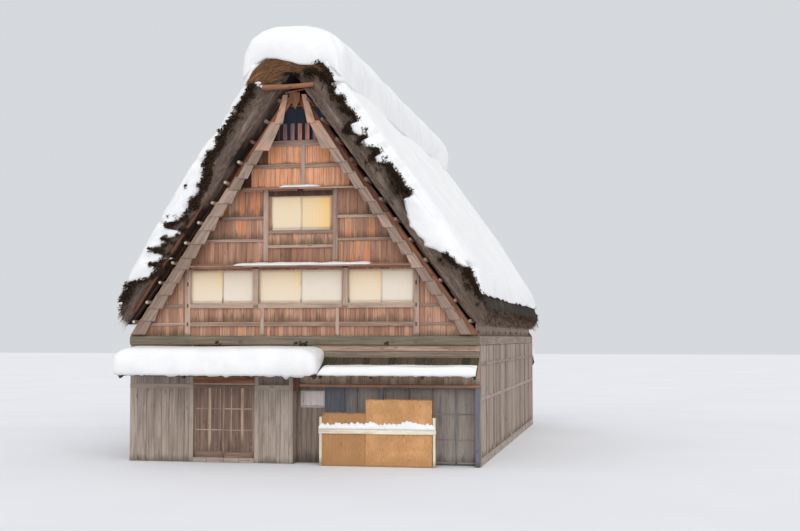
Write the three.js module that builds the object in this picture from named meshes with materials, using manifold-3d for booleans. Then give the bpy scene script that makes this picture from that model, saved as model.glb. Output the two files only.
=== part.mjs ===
// A thatched farmhouse under snow, in millimetres, +Z up. The entrance gable faces -Y.
// The origin is on the ground at the middle of the plan.
import * as THREE from 'three';
import { mergeVertices } from 'three/addons/utils/BufferGeometryUtils.js';
import Module from 'manifold-3d';

const wasm = await Module();
wasm.setup();

// Driving sizes of the body: six bays wide and ten bays long, one bay is 1.82 m
const BAY = 1820;
const HALF_WIDTH = 3 * BAY - 10;
const HALF_LENGTH = 5 * BAY;
const WALL = 100;
const GABLE_WALL = 120;
const GAP = 0.3;

// Heights of the storeys
const WALL_TOP = 3560;
const BEAM_TOP = 3835;
const STOREY_3 = 6000;
const STOREY_4 = 8350;
const FLOOR_BOARDS = 90;

// Roof: both faces of the thatch rise at the same pitch, and the eaves are trimmed rounder
const PITCH = 1.386;
const INNER_APEX = 11700;
const THATCH_ACROSS = 910;
const OUTER_APEX = INNER_APEX + THATCH_ACROSS * PITCH;
const EAVE_INNER = [(INNER_APEX - 4200) / PITCH, 4200];
const EAVE_OUTER = [[5690, 4640], [5540, 5080], [5130, 5850]];
const THATCH_SHOULDER_Z = 11550;
const THATCH_CREST_Z = 11860;
const RIDGE_SKIRT_Z = 11325;
const HOOD_OUTLINE = [[1330, RIDGE_SKIRT_Z], [1215, 11580], [1010, 11860], [740, 12040], [380, 12105]];
const PITCH_COS = 1 / Math.hypot(1, PITCH);

// The verges lean outwards as they rise
const VERGE_FOOT = 350;
const VERGE_LEAN = 0.127;
const VERGE_BASE_Z = EAVE_OUTER[0][1];
const BARGE_FOOT = 150;
const BARGE_LEAN = 0.085;
const BARGE_BASE_Z = 4000;

// Layers under the thatch, measured square to the slope
const POLE = 75;
const PURLIN = 115;
const RAFTER = 180;
const HALVING = 12;
const PURLIN_TOP = POLE - HALVING;
const PURLIN_BOTTOM = PURLIN_TOP + PURLIN;
const RAFTER_TOP = PURLIN_BOTTOM - HALVING;
const FRAME_DEPTH = RAFTER_TOP + RAFTER;
const PURLIN_STEP = 740;
const PURLIN_COUNT = 12;
const RAFTER_STEP = 1890;

// Snow
const SNOW_SLOPE = 360;
const SNOW_EAVE = 190;
const RIDGE_SNOW_TOP = 13280;
const RIDGE_SNOW_ROUND_Z = 12300;
const RIDGE_SNOW_ROUND = 420;

// Windows of the gables
const WINDOW_LOW = 4830;
const WINDOW_HIGH = 5835;
const POST_WIDTH = 170;
const WINDOW_POSTS = [-3575, -1400, 1400, 3575];
const UPPER_WINDOW = { half: 935, low: 7050, high: 8090 };
const UPPER_POST = 1090;
const POST_PROUD = 55;
const SHOJI = 40;
const SHOJI_SET_BACK = 35;

// Entrance
const DOOR_LEFT = -3378;
const DOOR_RIGHT = -1425;
const DOOR_LOW = 140;
const DOOR_HIGH = 2340;
const LEAF = 36;
const LEAF_LAP = 90;
const LEAF_CLEAR = 6;

// Veranda on the right of the entrance gable
const RECESS_EDGE = -215;
const RECESS_DEPTH = 450;
const SHUTTER_EDGE = 850;
const LINTEL_LOW = 2300;
const VERANDA_POST_X = 2530;

// Pent roofs over the ground floor
const PENT_SPLIT = 985;
const PENT_LEFT = { wall: 3050, edge: 2680, reach: 1020, board: 50 };
const PENT_RIGHT = { wall: 3200, edge: 2690, reach: 760, board: 50 };

const materials = {
  thatch: standard(0x6b5d50, 0.95),
  straw: standard(0x8a5c36, 0.95),
  snow: standard(0xf4f6f8, 0.6),
  planks: standard(0x9c6a4c, 0.85),
  grayTimber: standard(0x8a8178, 0.85),
  redTimber: standard(0x84564a, 0.8),
  darkPanels: standard(0x3c4148, 0.7),
  paper: standard(0xede0c8, 0.8),
  strawMat: standard(0xcb9659, 0.9),
  paleTimber: standard(0xd9cbb8, 0.8),
  floorBoards: standard(0x7b6048, 0.8),
};

const house = new THREE.Group();

function standard(color, roughness) {
  return new THREE.MeshStandardMaterial({ color, roughness, metalness: 0 });
}

function addPart(name, geometry, material) {
  const mesh = new THREE.Mesh(geometry, material);
  mesh.name = name;
  house.add(mesh);
  return mesh;
}

function box(x0, x1, y0, y1, z0, z1) {
  const geometry = new THREE.BoxGeometry(x1 - x0, y1 - y0, z1 - z0);
  geometry.translate((x0 + x1) / 2, (y0 + y1) / 2, (z0 + z1) / 2);
  return geometry;
}

// The points may run either way round
function outline(points) {
  return new THREE.Shape(points.map(([a, b]) => new THREE.Vector2(a, b)));
}

// A prism whose outline is drawn in X and Z
function prismAlongY(points, y0, y1) {
  const geometry = new THREE.ExtrudeGeometry(outline(points), { depth: y1 - y0, bevelEnabled: false });
  geometry.rotateX(Math.PI / 2);
  geometry.translate(0, y1, 0);
  return geometry;
}

// A prism whose outline is drawn in Y and Z
function prismAlongX(points, x0, x1) {
  const geometry = new THREE.ExtrudeGeometry(outline(points), { depth: x1 - x0, bevelEnabled: false });
  const turn = new THREE.Matrix4().makeBasis(
    new THREE.Vector3(0, 1, 0),
    new THREE.Vector3(0, 0, 1),
    new THREE.Vector3(1, 0, 0),
  );
  geometry.applyMatrix4(turn);
  geometry.translate(x0, 0, 0);
  return geometry;
}

function toSolid(geometry) {
  const bare = geometry.clone();
  bare.deleteAttribute('normal');
  bare.deleteAttribute('uv');
  const merged = mergeVertices(bare, 0.01);
  return new wasm.Manifold(new wasm.Mesh({
    numProp: 3,
    vertProperties: new Float32Array(merged.attributes.position.array),
    triVerts: new Uint32Array(merged.index.array),
  }));
}

function fromSolid(solid) {
  const mesh = solid.getMesh();
  const geometry = new THREE.BufferGeometry();
  geometry.setAttribute('position', new THREE.BufferAttribute(mesh.vertProperties, 3));
  geometry.setIndex(new THREE.BufferAttribute(mesh.triVerts, 1));
  geometry.computeVertexNormals();
  return geometry;
}

function join(geometries) {
  return fromSolid(geometries.map(toSolid).reduce((whole, piece) => whole.add(piece)));
}

function cut(geometry, cutters) {
  return fromSolid(cutters.map(toSolid).reduce((whole, piece) => whole.subtract(piece), toSolid(geometry)));
}

// Moves the two ends of a prism along Y outwards by an amount that depends on the height
function leanEnds(geometry, lean) {
  const position = geometry.attributes.position;
  for (let i = 0; i < position.count; i += 1) {
    const y = position.getY(i);
    position.setY(i, y + Math.sign(y) * lean(position.getZ(i)));
  }
  geometry.computeVertexNormals();
  return geometry;
}

function thatchLean(z) {
  return VERGE_LEAN * (z - VERGE_BASE_Z);
}

function bargeLean(z) {
  return BARGE_LEAN * (z - BARGE_BASE_Z);
}

// The front of the snow on the ridge follows the verge and then rounds back to its top
function ridgeSnowLean(z) {
  const above = Math.max(z - RIDGE_SNOW_ROUND_Z, 0) / (RIDGE_SNOW_TOP - RIDGE_SNOW_ROUND_Z);
  return thatchLean(z) - RIDGE_SNOW_ROUND * above ** 2;
}

function mirrorX(points) {
  return points.map(([x, z]) => [-x, z]).reverse();
}

// A wall slab along X with each hole, an outline in X and Z, cut right through it
function piercedWall(points, y0, y1, holes) {
  const cutters = holes.map((hole) => prismAlongY(hole, y0 - 50, y1 + 50));
  return cut(prismAlongY(points, y0, y1), cutters);
}

// The half width under the roof at height z, some depth in from the thatch's inner face
function halfWidthUnder(z, depth) {
  return (INNER_APEX - depth / PITCH_COS - z) / PITCH;
}

function outerThatchX(z) {
  return (OUTER_APEX - z) / PITCH;
}

// Front and back pieces share one maker: side is -1 at the entrance gable and +1 behind
function gableSlab(side, near, far) {
  const a = side * (HALF_LENGTH + near);
  const b = side * (HALF_LENGTH + far);
  return [Math.min(a, b), Math.max(a, b)];
}

function thatchOutline() {
  return [
    [GAP, INNER_APEX],
    EAVE_INNER,
    ...EAVE_OUTER,
    [outerThatchX(THATCH_SHOULDER_Z), THATCH_SHOULDER_Z],
    [GAP, THATCH_CREST_Z],
  ];
}

function makeThatch() {
  const reach = HALF_LENGTH + VERGE_FOOT;
  const right = thatchOutline();
  for (const [hand, points] of [['right', right], ['left', mirrorX(right)]]) {
    const slab = leanEnds(prismAlongY(points, -reach, reach), thatchLean);
    addPart(`thatch_${hand}`, slab, materials.thatch);
  }
}

// A thick straw hood that straddles the tops of both slopes
function makeRidgeCap() {
  const shoulder = outerThatchX(THATCH_SHOULDER_Z);
  const inner = [
    [outerThatchX(RIDGE_SKIRT_Z) + GAP, RIDGE_SKIRT_Z],
    [shoulder + GAP, THATCH_SHOULDER_Z + GAP],
    [0, THATCH_CREST_Z + GAP],
  ];
  const points = [
    ...mirrorX(HOOD_OUTLINE).reverse(),
    ...HOOD_OUTLINE.slice().reverse(),
    ...inner,
    ...mirrorX(inner.slice(0, 2)),
  ];
  const reach = HALF_LENGTH + VERGE_FOOT + 90;
  addPart('ridge_cap', leanEnds(prismAlongY(points, -reach, reach), thatchLean), materials.straw);
}

// A bar laid along Y, tilted with the slope, some depth under the thatch
function purlin(z, y0, y1) {
  const rise = PURLIN * PITCH * PITCH_COS;
  const upper = [halfWidthUnder(z + rise / 2, PURLIN_TOP), z + rise / 2];
  const lower = [halfWidthUnder(z - rise / 2, PURLIN_TOP), z - rise / 2];
  const inX = PURLIN * PITCH * PITCH_COS;
  const inZ = PURLIN * PITCH_COS;
  const points = [upper, [upper[0] - inX, upper[1] - inZ], [lower[0] - inX, lower[1] - inZ], lower];
  return prismAlongY(points, y0, y1);
}

// A bar laid up the slope between two depths, from height zLow to height zHigh
function slopeBar(depth, thick, y, width, zLow, zHigh) {
  const points = [
    [halfWidthUnder(zHigh, depth), zHigh],
    [halfWidthUnder(zHigh, depth + thick), zHigh],
    [halfWidthUnder(zLow, depth + thick), zLow],
    [halfWidthUnder(zLow, depth), zLow],
  ];
  return prismAlongY(points, y - width / 2, y + width / 2);
}

function rafterPlaces() {
  return Array.from({ length: 10 }, (_, i) => (i - 4.5) * RAFTER_STEP);
}

function roofFrameBars() {
  const bars = [];
  for (let i = 0; i < PURLIN_COUNT; i += 1) {
    const z = BEAM_TOP + 480 + i * PURLIN_STEP * PITCH * PITCH_COS;
    const reach = HALF_LENGTH + BARGE_FOOT + 110 + bargeLean(z);
    bars.push(purlin(z, -reach, reach));
  }
  const rafterFoot = BEAM_TOP + GAP;
  const poleFoot = EAVE_INNER[1] + 20;
  const top = 11010;
  for (const y of rafterPlaces()) {
    bars.push(slopeBar(RAFTER_TOP, RAFTER, y, RAFTER, rafterFoot, top));
  }
  for (const y of [HALF_LENGTH + 70, HALF_LENGTH + 190]) {
    bars.push(slopeBar(2 * GAP, POLE, y, POLE, poleFoot, top));
    bars.push(slopeBar(2 * GAP, POLE, -y, POLE, poleFoot, top));
  }
  return bars;
}

function makeRoofFrames() {
  const right = join(roofFrameBars());
  addPart('roof_frame_right', right, materials.redTimber);
  const left = fromSolid(toSolid(right).mirror([1, 0, 0]));
  addPart('roof_frame_left', left, materials.redTimber);
}

// Lapped barge boards: each board's lower end stands in past the next one
function bargeOutline() {
  const depth = PURLIN_BOTTOM + 0.5;
  const foot = 3870;
  const tooth = 520;
  const points = [[halfWidthUnder(foot, depth), foot]];
  const topZ = INNER_APEX - depth / PITCH_COS - PITCH * 25;
  points.push([halfWidthUnder(topZ, depth), topZ]);
  const innerTop = topZ - 440;
  points.push([25, innerTop]);
  for (let z = innerTop - 60; z - tooth > foot + 60; z -= tooth) {
    const upper = halfWidthUnder(z, depth);
    const lower = halfWidthUnder(z - tooth, depth);
    points.push([Math.max(upper - 360, 25), z]);
    points.push([Math.max(lower - 490, 25), z - tooth]);
  }
  points.push([halfWidthUnder(foot, depth) - 430, foot]);
  return points.filter(([x], i) => i < 3 || x > 25);
}

function makeBargeBoards() {
  const right = bargeOutline();
  for (const [gable, side] of [['front', -1], ['back', 1]]) {
    const [y0, y1] = gableSlab(side, BARGE_FOOT - 35, BARGE_FOOT);
    for (const [hand, points] of [['right', right], ['left', mirrorX(right)]]) {
      const boards = leanEnds(prismAlongY(points, y0, y1), bargeLean);
      addPart(`barge_boards_${gable}_${hand}`, boards, materials.grayTimber);
    }
  }
}

// The round pole that lies across the thatch ends just under the ridge
function makeApexPole() {
  const z = 11210;
  const radius = 85;
  const lean = Math.atan(VERGE_LEAN);
  const verge = HALF_LENGTH + VERGE_FOOT + thatchLean(z);
  const pole = new THREE.CylinderGeometry(radius, radius, 1560, 10, 1, false, Math.PI / 2 - lean);
  pole.rotateZ(Math.PI / 2);
  pole.translate(-40, -(verge + (radius + GAP) / Math.cos(lean)), z);
  addPart('apex_pole', pole, materials.redTimber);
}

function gableBand(zLow, zHigh) {
  const depth = PURLIN_BOTTOM + 0.5;
  const low = halfWidthUnder(zLow, depth);
  const high = Math.max(halfWidthUnder(zHigh, depth), 20);
  return [[-low, zLow], [low, zLow], [high, zHigh], [-high, zHigh]];
}

function rectangle(x0, x1, z0, z1) {
  return [[x0, z0], [x1, z0], [x1, z1], [x0, z1]];
}

function windowRanges() {
  const half = POST_WIDTH / 2;
  return [0, 1, 2].map((i) => [WINDOW_POSTS[i] + half, WINDOW_POSTS[i + 1] - half]);
}

// Posts and rails that stand proud of the boarding, nailed through it
function proudBars(side, bars) {
  const [y0, y1] = gableSlab(side, POST_PROUD, -20);
  return bars.map(([x0, x1, z0, z1]) => box(x0, x1, y0, y1, z0, z1));
}

function lowerGableWall(side) {
  const holes = windowRanges().map(([a, b]) => rectangle(a, b, WINDOW_LOW, WINDOW_HIGH));
  const [y0, y1] = gableSlab(side, 0, -GABLE_WALL);
  const low = BEAM_TOP + GAP;
  const high = STOREY_3 - 120;
  const slab = piercedWall(gableBand(low, high), y0, y1, holes);
  const half = POST_WIDTH / 2;
  const posts = WINDOW_POSTS.map((x) => [x - half, x + half, Math.abs(x) > 2000 ? low : 4700, high]);
  const edge = WINDOW_POSTS[3] + half;
  const rails = [[-edge, edge, 4680, WINDOW_LOW], [-edge, edge, 4125, 4260]];
  const shortPosts = [[-1240, -1130, low, 4690], [1110, 1220, low, 4690]];
  return join([slab, ...proudBars(side, [...posts, ...rails, ...shortPosts])]);
}

function middleGableWall(side) {
  const { half, low, high } = UPPER_WINDOW;
  const [y0, y1] = gableSlab(side, 0, -GABLE_WALL);
  const foot = STOREY_3 - 120 + GAP;
  const top = STOREY_4 - 20;
  const slab = piercedWall(gableBand(foot, top), y0, y1, [rectangle(-half, half, low, high)]);
  const postHalf = 75;
  const bars = [
    [-UPPER_POST - postHalf, -UPPER_POST + postHalf, foot + 170, top],
    [UPPER_POST - postHalf, UPPER_POST + postHalf, foot + 170, top],
    [-UPPER_POST, UPPER_POST, low - 110, low],
    [-UPPER_POST, UPPER_POST, 6500, 6590],
    [-2150, -UPPER_POST, 7390, 7480],
    [UPPER_POST, 2150, 7390, 7480],
    [-2750, -UPPER_POST, 6700, 6790],
    [UPPER_POST, 2750, 6700, 6790],
  ];
  return join([slab, ...proudBars(side, bars)]);
}

// The top of the gable, with a smoke vent of upright slats
function topGableWall(side) {
  const foot = STOREY_4 - 20 + GAP;
  const top = 10880;
  const [y0, y1] = gableSlab(side, 0, -GABLE_WALL);
  const slats = [];
  for (let i = -2; i <= 2; i += 1) {
    const middle = i * 170;
    const peak = 10560 - Math.abs(middle) * PITCH;
    slats.push(rectangle(middle - 50, middle + 50, 9810, peak));
  }
  const slab = piercedWall(gableBand(foot, top), y0, y1, slats);
  const bars = [
    [-1010, 1010, 9690, 9780],
    [-1500, 1500, 9030, 9120],
    [-65, 65, foot, 9700],
  ];
  return join([slab, ...proudBars(side, bars)]);
}

function ledge(side, half, z, reach) {
  const wall = HALF_LENGTH + GAP;
  const points = [[wall, z], [wall + reach, z - 70], [wall + reach, z - 125], [wall, z - 150]];
  return prismAlongX(points.map(([y, height]) => [side * y, height]), -half, half);
}

function makeGables() {
  const parts = [['front', -1], ['back', 1]];
  for (const [gable, side] of parts) {
    addPart(`gable_wall_${gable}_lower`, lowerGableWall(side), materials.planks);
    addPart(`gable_wall_${gable}_middle`, middleGableWall(side), materials.planks);
    addPart(`gable_wall_${gable}_top`, topGableWall(side), materials.planks);
    addPart(`ledge_${gable}_lower`, ledgeClear(side, 3485, STOREY_3 + 40, 330), materials.redTimber);
    addPart(`ledge_${gable}_upper`, ledgeClear(side, 1850, STOREY_4 + 40, 260), materials.redTimber);
  }
}

// A ledge stands on the boarding's face and is notched round the posts it crosses
function ledgeClear(side, half, z, reach) {
  const board = ledge(side, half, z, reach);
  const [y0, y1] = gableSlab(side, POST_PROUD + GAP, -20);
  const notches = [...WINDOW_POSTS, -UPPER_POST, UPPER_POST, 0].map((x) => {
    const wide = POST_WIDTH / 2 + 5;
    return box(x - wide, x + wide, y0, y1, z - 400, z + 400);
  });
  return cut(board, notches);
}

function shoji(side, x0, x1, z0, z1) {
  const [y0, y1] = gableSlab(side, -SHOJI_SET_BACK, -SHOJI_SET_BACK - SHOJI);
  return box(x0 + GAP, x1 - GAP, y0, y1, z0 + GAP, z1 - GAP);
}

function makeShoji() {
  const names = ['left', 'middle', 'right'];
  windowRanges().forEach(([a, b], i) => {
    addPart(`shoji_front_${names[i]}`, shoji(-1, a, b, WINDOW_LOW, WINDOW_HIGH), materials.paper);
  });
  const { half, low, high } = UPPER_WINDOW;
  addPart('shoji_front_upper', shoji(-1, -half, half, low, high), materials.paper);
  const [y0, y1] = gableSlab(1, -GABLE_WALL - GAP, -GABLE_WALL - SHOJI);
  const edge = WINDOW_POSTS[3];
  addPart('shoji_back_lower', box(-edge, edge, y0, y1, WINDOW_LOW - 60, WINDOW_HIGH + 40), materials.paper);
  addPart('shoji_back_upper', box(-half - 60, half + 60, y0, y1, low - 60, high + 60), materials.paper);
}

// Ground floor walls of the entrance gable. The plank walls stand beside and over the doorway
function makeEntranceWalls() {
  const front = -HALF_LENGTH;
  const back = front + WALL;
  const head = WALL_TOP - GAP;
  addPart('front_wall_left', box(-HALF_WIDTH, DOOR_LEFT, front, back, 0, head), materials.grayTimber);
  const middle = box(DOOR_RIGHT, RECESS_EDGE, front, back, 0, head);
  const returnWall = box(RECESS_EDGE - WALL, RECESS_EDGE, front, front + RECESS_DEPTH, 0, head);
  addPart('front_wall_middle', join([middle, returnWall]), materials.grayTimber);
  const over = box(DOOR_LEFT + GAP, DOOR_RIGHT - GAP, front, back, DOOR_HIGH, head);
  addPart('entrance_head_wall', over, materials.redTimber);
  const sill = box(DOOR_LEFT + GAP, DOOR_RIGHT - GAP, front - 40, back + 40, 0, DOOR_LOW);
  addPart('entrance_threshold', sill, materials.grayTimber);
}

// Two lattice leaves that slide past each other behind the jambs
function entranceLeaf(x0, x1, y0) {
  const low = DOOR_LOW + 0.6;
  const high = DOOR_HIGH - LEAF_CLEAR;
  const panel = box(x0, x1, y0 + 12, y0 + LEAF - 6, low + 20, high - 20);
  const frame = [
    box(x0, x0 + 75, y0, y0 + LEAF, low, high),
    box(x1 - 75, x1, y0, y0 + LEAF, low, high),
    box(x0, x1, y0, y0 + LEAF, low, low + 190),
    box(x0, x1, y0, y0 + LEAF, high - 90, high),
    box(x0, x1, y0, y0 + LEAF, 850, 925),
    box(x0, x1, y0, y0 + LEAF, 1540, 1610),
  ];
  const middle = (x0 + x1) / 2;
  const stile = box(middle - 30, middle + 30, y0, y0 + LEAF, low, high);
  return join([panel, ...frame, stile]);
}

function makeEntranceLeaves() {
  const middle = (DOOR_LEFT + DOOR_RIGHT) / 2;
  const nearTrack = -HALF_LENGTH + 12;
  const farTrack = nearTrack + LEAF + LEAF_CLEAR;
  const left = entranceLeaf(DOOR_LEFT + LEAF_CLEAR, middle + LEAF_LAP / 2, farTrack);
  const right = entranceLeaf(middle - LEAF_LAP / 2, DOOR_RIGHT - LEAF_CLEAR, nearTrack);
  addPart('entrance_leaf_left', left, materials.redTimber);
  addPart('entrance_leaf_right', right, materials.redTimber);
}

function makeVeranda() {
  const front = -HALF_LENGTH;
  const wallFace = front + RECESS_DEPTH + GAP;
  const head = WALL_TOP - GAP;
  const right = HALF_WIDTH - WALL - GAP;
  const recess = box(RECESS_EDGE - WALL, SHUTTER_EDGE, wallFace, wallFace + WALL, 0, head);
  addPart('recess_wall', recess, materials.planks);
  const shutters = box(SHUTTER_EDGE + GAP, right, wallFace, wallFace + 60, 0, head);
  addPart('veranda_shutters', shutters, materials.darkPanels);
  const headWall = box(RECESS_EDGE + GAP, HALF_WIDTH, front, front + WALL, LINTEL_LOW, head);
  addPart('veranda_head_wall', headWall, materials.redTimber);
  const postTop = LINTEL_LOW - GAP;
  const middlePost = box(VERANDA_POST_X - 60, VERANDA_POST_X + 60, front, front + 120, 0, postTop);
  addPart('veranda_post_middle', middlePost, materials.grayTimber);
  const cornerPost = box(HALF_WIDTH - 140, HALF_WIDTH, front, front + WALL - GAP, 0, postTop);
  addPart('veranda_post_corner', cornerPost, materials.grayTimber);
}

// Straw mats stand between two rails on stakes, tied back to a veranda post
function makeStrawMats() {
  const front = -HALF_LENGTH;
  const face = front - 330;
  const thick = 65;
  addPart('straw_mat_low', box(700, 2110 - GAP, face, face + thick, 0, 1580), materials.strawMat);
  addPart('straw_mat_high', box(2110, 4090, face, face + thick, 0, 1960), materials.strawMat);
  const behind = face + thick + GAP;
  const rail = box(500, 4210, face - 40, face - GAP, 985, 1190);
  const backRail = box(560, 4190, behind, behind + 60, 1350, 1440);
  const tie = box(VERANDA_POST_X - 30, VERANDA_POST_X + 30, behind, front - GAP, 1365, 1425);
  const stakes = [[560, 640], [4110, 4190]].map(([a, b]) => box(a, b, face - 20, behind + 40, 0, 1440));
  addPart('mat_rail', join([rail, backRail, tie, ...stakes]), materials.paleTimber);
}

function sideWall(sign) {
  const a = sign * (HALF_WIDTH - WALL);
  const b = sign * HALF_WIDTH;
  const inner = sign * (HALF_WIDTH - 250);
  const low = HALF_LENGTH - WALL - GAP;
  const wall = box(Math.min(a, b), Math.max(a, b), -low, low, 0, WALL_TOP - GAP);
  const end = HALF_LENGTH - GABLE_WALL - 50 - GAP;
  const plate = box(Math.min(inner, b), Math.max(inner, b), -end, end, WALL_TOP, BEAM_TOP);
  const seat = box(Math.min(a, b), Math.max(a, b), -end, end, WALL_TOP - 50, BEAM_TOP);
  return join([wall, plate, seat, eaveBoard(sign, end)]);
}

// A board on the wall plate closes the space under the thatch, notched over each rafter
function eaveBoard(sign, end) {
  const outer = 5335;
  const inner = outer - 30;
  const roof = (x) => INNER_APEX - x * PITCH - 2 * GAP;
  const foot = BEAM_TOP - 20;
  const points = [[inner, foot], [outer, foot], [outer, roof(outer)], [inner, roof(inner)]];
  const board = prismAlongY(sign > 0 ? points : mirrorX(points), -end, end);
  const half = RAFTER / 2 + 2;
  const notchTop = roof(inner) - RAFTER_TOP / PITCH_COS + 3;
  const notches = rafterPlaces().map((y) => (
    box(-HALF_WIDTH, HALF_WIDTH, y - half, y + half, foot - 40, notchTop)
  ));
  return cut(board, notches);
}

function makeBody() {
  addPart('side_wall_left', sideWall(-1), materials.grayTimber);
  addPart('side_wall_right', sideWall(1), materials.grayTimber);
  const back = HALF_LENGTH;
  const backWall = box(-HALF_WIDTH, HALF_WIDTH, back - WALL, back, 0, WALL_TOP - GAP);
  addPart('back_wall', backWall, materials.grayTimber);
  for (const [gable, side] of [['front', -1], ['back', 1]]) {
    const [y0, y1] = gableSlab(side, 90, -GABLE_WALL - 50);
    addPart(`${gable}_beam`, box(-HALF_WIDTH, HALF_WIDTH, y0, y1, WALL_TOP, BEAM_TOP), materials.grayTimber);
  }
}

function atticFloor(z) {
  const low = halfWidthUnder(z, FRAME_DEPTH + 1);
  const high = halfWidthUnder(z + FLOOR_BOARDS, FRAME_DEPTH + 1);
  const end = HALF_LENGTH - GABLE_WALL - GAP;
  return prismAlongY([[-low, z], [low, z], [high, z + FLOOR_BOARDS], [-high, z + FLOOR_BOARDS]], -end, end);
}

function makeFloors() {
  const front = -HALF_LENGTH;
  const inside = HALF_WIDTH - WALL - GAP;
  const plan = [
    [-inside, front + WALL + 45],
    [RECESS_EDGE - WALL - GAP, front + WALL + 45],
    [RECESS_EDGE - WALL - GAP, front + RECESS_DEPTH + WALL + 2 * GAP],
    [inside, front + RECESS_DEPTH + WALL + 2 * GAP],
    [inside, HALF_LENGTH - WALL - GAP],
    [-inside, HALF_LENGTH - WALL - GAP],
  ];
  const ground = new THREE.ExtrudeGeometry(outline(plan), { depth: 100, bevelEnabled: false });
  addPart('ground_floor', ground, materials.floorBoards);
  const low = HALF_WIDTH - 250 - GAP;
  const end = HALF_LENGTH - GABLE_WALL - 50 - GAP;
  const lower = box(-low, low, -end, end, WALL_TOP + 150, BEAM_TOP - 30);
  addPart('attic_floor_lower', lower, materials.floorBoards);
  addPart('attic_floor_upper', atticFloor(STOREY_3 - FLOOR_BOARDS), materials.floorBoards);
}

// A sloping board roof on short brackets, drawn in Y and Z from the wall outwards
function pentRoof(side, pent, x0, x1) {
  const wall = HALF_LENGTH + GAP;
  const section = [
    [wall, pent.wall],
    [wall, pent.wall - pent.board],
    [wall + pent.reach, pent.edge - pent.board],
    [wall + pent.reach, pent.edge],
  ];
  const place = (points) => points.map(([y, z]) => [side * y, z]);
  const solids = [prismAlongX(place(section), x0, x1)];
  const bracket = [
    [wall, pent.wall - pent.board + 10],
    [wall, pent.wall - pent.board - 110],
    [wall + pent.reach * 0.86, pent.edge - pent.board - 25],
    [wall + pent.reach * 0.92, pent.edge - pent.board + 15],
  ];
  const count = Math.max(2, Math.round((x1 - x0) / BAY));
  for (let i = 0; i <= count; i += 1) {
    const x = x0 + 60 + ((x1 - x0 - 120) * i) / count;
    solids.push(prismAlongX(place(bracket), x - 35, x + 35));
  }
  return join(solids);
}

// Snow on a pent roof: the section runs out along the boards and back over the rounded top
function pentSnow(side, x0, x1, section) {
  const placed = section.map(([out, z]) => [side * (HALF_LENGTH + GAP + out), z]);
  return prismAlongX(placed, x0, x1);
}

function pentTop(pent, out) {
  return pent.wall + ((pent.edge - pent.wall) * out) / pent.reach + GAP;
}

function deepSnowSection(pent) {
  return [
    [1, pentTop(pent, 1)],
    [pent.reach, pentTop(pent, pent.reach)],
    [pent.reach + 70, pent.edge + 40],
    [pent.reach + 100, 2960],
    [pent.reach + 55, 3230],
    [pent.reach - 90, 3400],
    [pent.reach - 330, 3475],
    [1, 3530],
  ];
}

function thinSnowSection(pent) {
  return [
    [250, pentTop(pent, 250)],
    [pent.reach, pentTop(pent, pent.reach)],
    [pent.reach + 40, pent.edge + 30],
    [pent.reach + 50, 2860],
    [pent.reach - 40, 2975],
    [pent.reach - 250, 3050],
  ];
}

function makePentRoofs() {
  const left = [-HALF_WIDTH, PENT_SPLIT];
  const right = [PENT_SPLIT + 5, HALF_WIDTH];
  addPart('pent_roof_left', pentRoof(-1, PENT_LEFT, ...left), materials.grayTimber);
  addPart('pent_roof_right', pentRoof(-1, PENT_RIGHT, ...right), materials.grayTimber);
  addPart('pent_roof_back', pentRoof(1, PENT_LEFT, -HALF_WIDTH, HALF_WIDTH), materials.grayTimber);
  addPart('pent_snow_left', pentSnow(-1, ...left, deepSnowSection(PENT_LEFT)), materials.snow);
  addPart('pent_snow_right', pentSnow(-1, ...right, thinSnowSection(PENT_RIGHT)), materials.snow);
  addPart('pent_snow_back', pentSnow(1, -HALF_WIDTH, HALF_WIDTH, deepSnowSection(PENT_LEFT)), materials.snow);
}

// Snow lies along the slope, thinner towards the eaves
function slopeSnowOutline() {
  const topZ = RIDGE_SKIRT_Z - 15;
  const inner = [
    [outerThatchX(topZ) + GAP, topZ],
    [EAVE_OUTER[2][0] + GAP, EAVE_OUTER[2][1] + GAP],
    [EAVE_OUTER[1][0] + GAP, EAVE_OUTER[1][1] + GAP],
  ];
  const across = SNOW_SLOPE / (PITCH * PITCH_COS);
  const outer = [
    [EAVE_OUTER[1][0] + SNOW_EAVE, EAVE_OUTER[1][1] + 60],
    [EAVE_OUTER[2][0] + SNOW_EAVE + 90, EAVE_OUTER[2][1] + 100],
    [outerThatchX(8200) + across, 8200],
    [outerThatchX(topZ) + across * 0.9, topZ],
  ];
  return [...inner, ...outer];
}

function makeRoofSnow() {
  const reach = HALF_LENGTH + VERGE_FOOT - 40;
  const points = slopeSnowOutline();
  for (const [name, shape] of [['roof_snow_right', points], ['roof_snow_left', mirrorX(points)]]) {
    addPart(name, leanEnds(prismAlongY(shape, -reach, reach), thatchLean), materials.snow);
  }
}

// The deep snow that sits on the straw hood like a mushroom cap
function makeRidgeSnow() {
  const foot = RIDGE_SKIRT_Z + 20;
  const dome = [
    [1560, foot],
    [1620, 11900],
    [1560, 12420],
    [1330, 12830],
    [960, 13110],
    [480, RIDGE_SNOW_TOP],
  ];
  const seat = HOOD_OUTLINE.map(([x, z]) => [x + 2 * GAP, z + 2 * GAP]);
  seat[0][1] = foot;
  const section = [...dome, ...mirrorX(dome), ...mirrorX(seat).reverse(), ...seat.slice().reverse()];
  addPart('ridge_snow', roundEnds(section, seat.length, HALF_LENGTH + VERGE_FOOT + 70), materials.snow);
}

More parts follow.
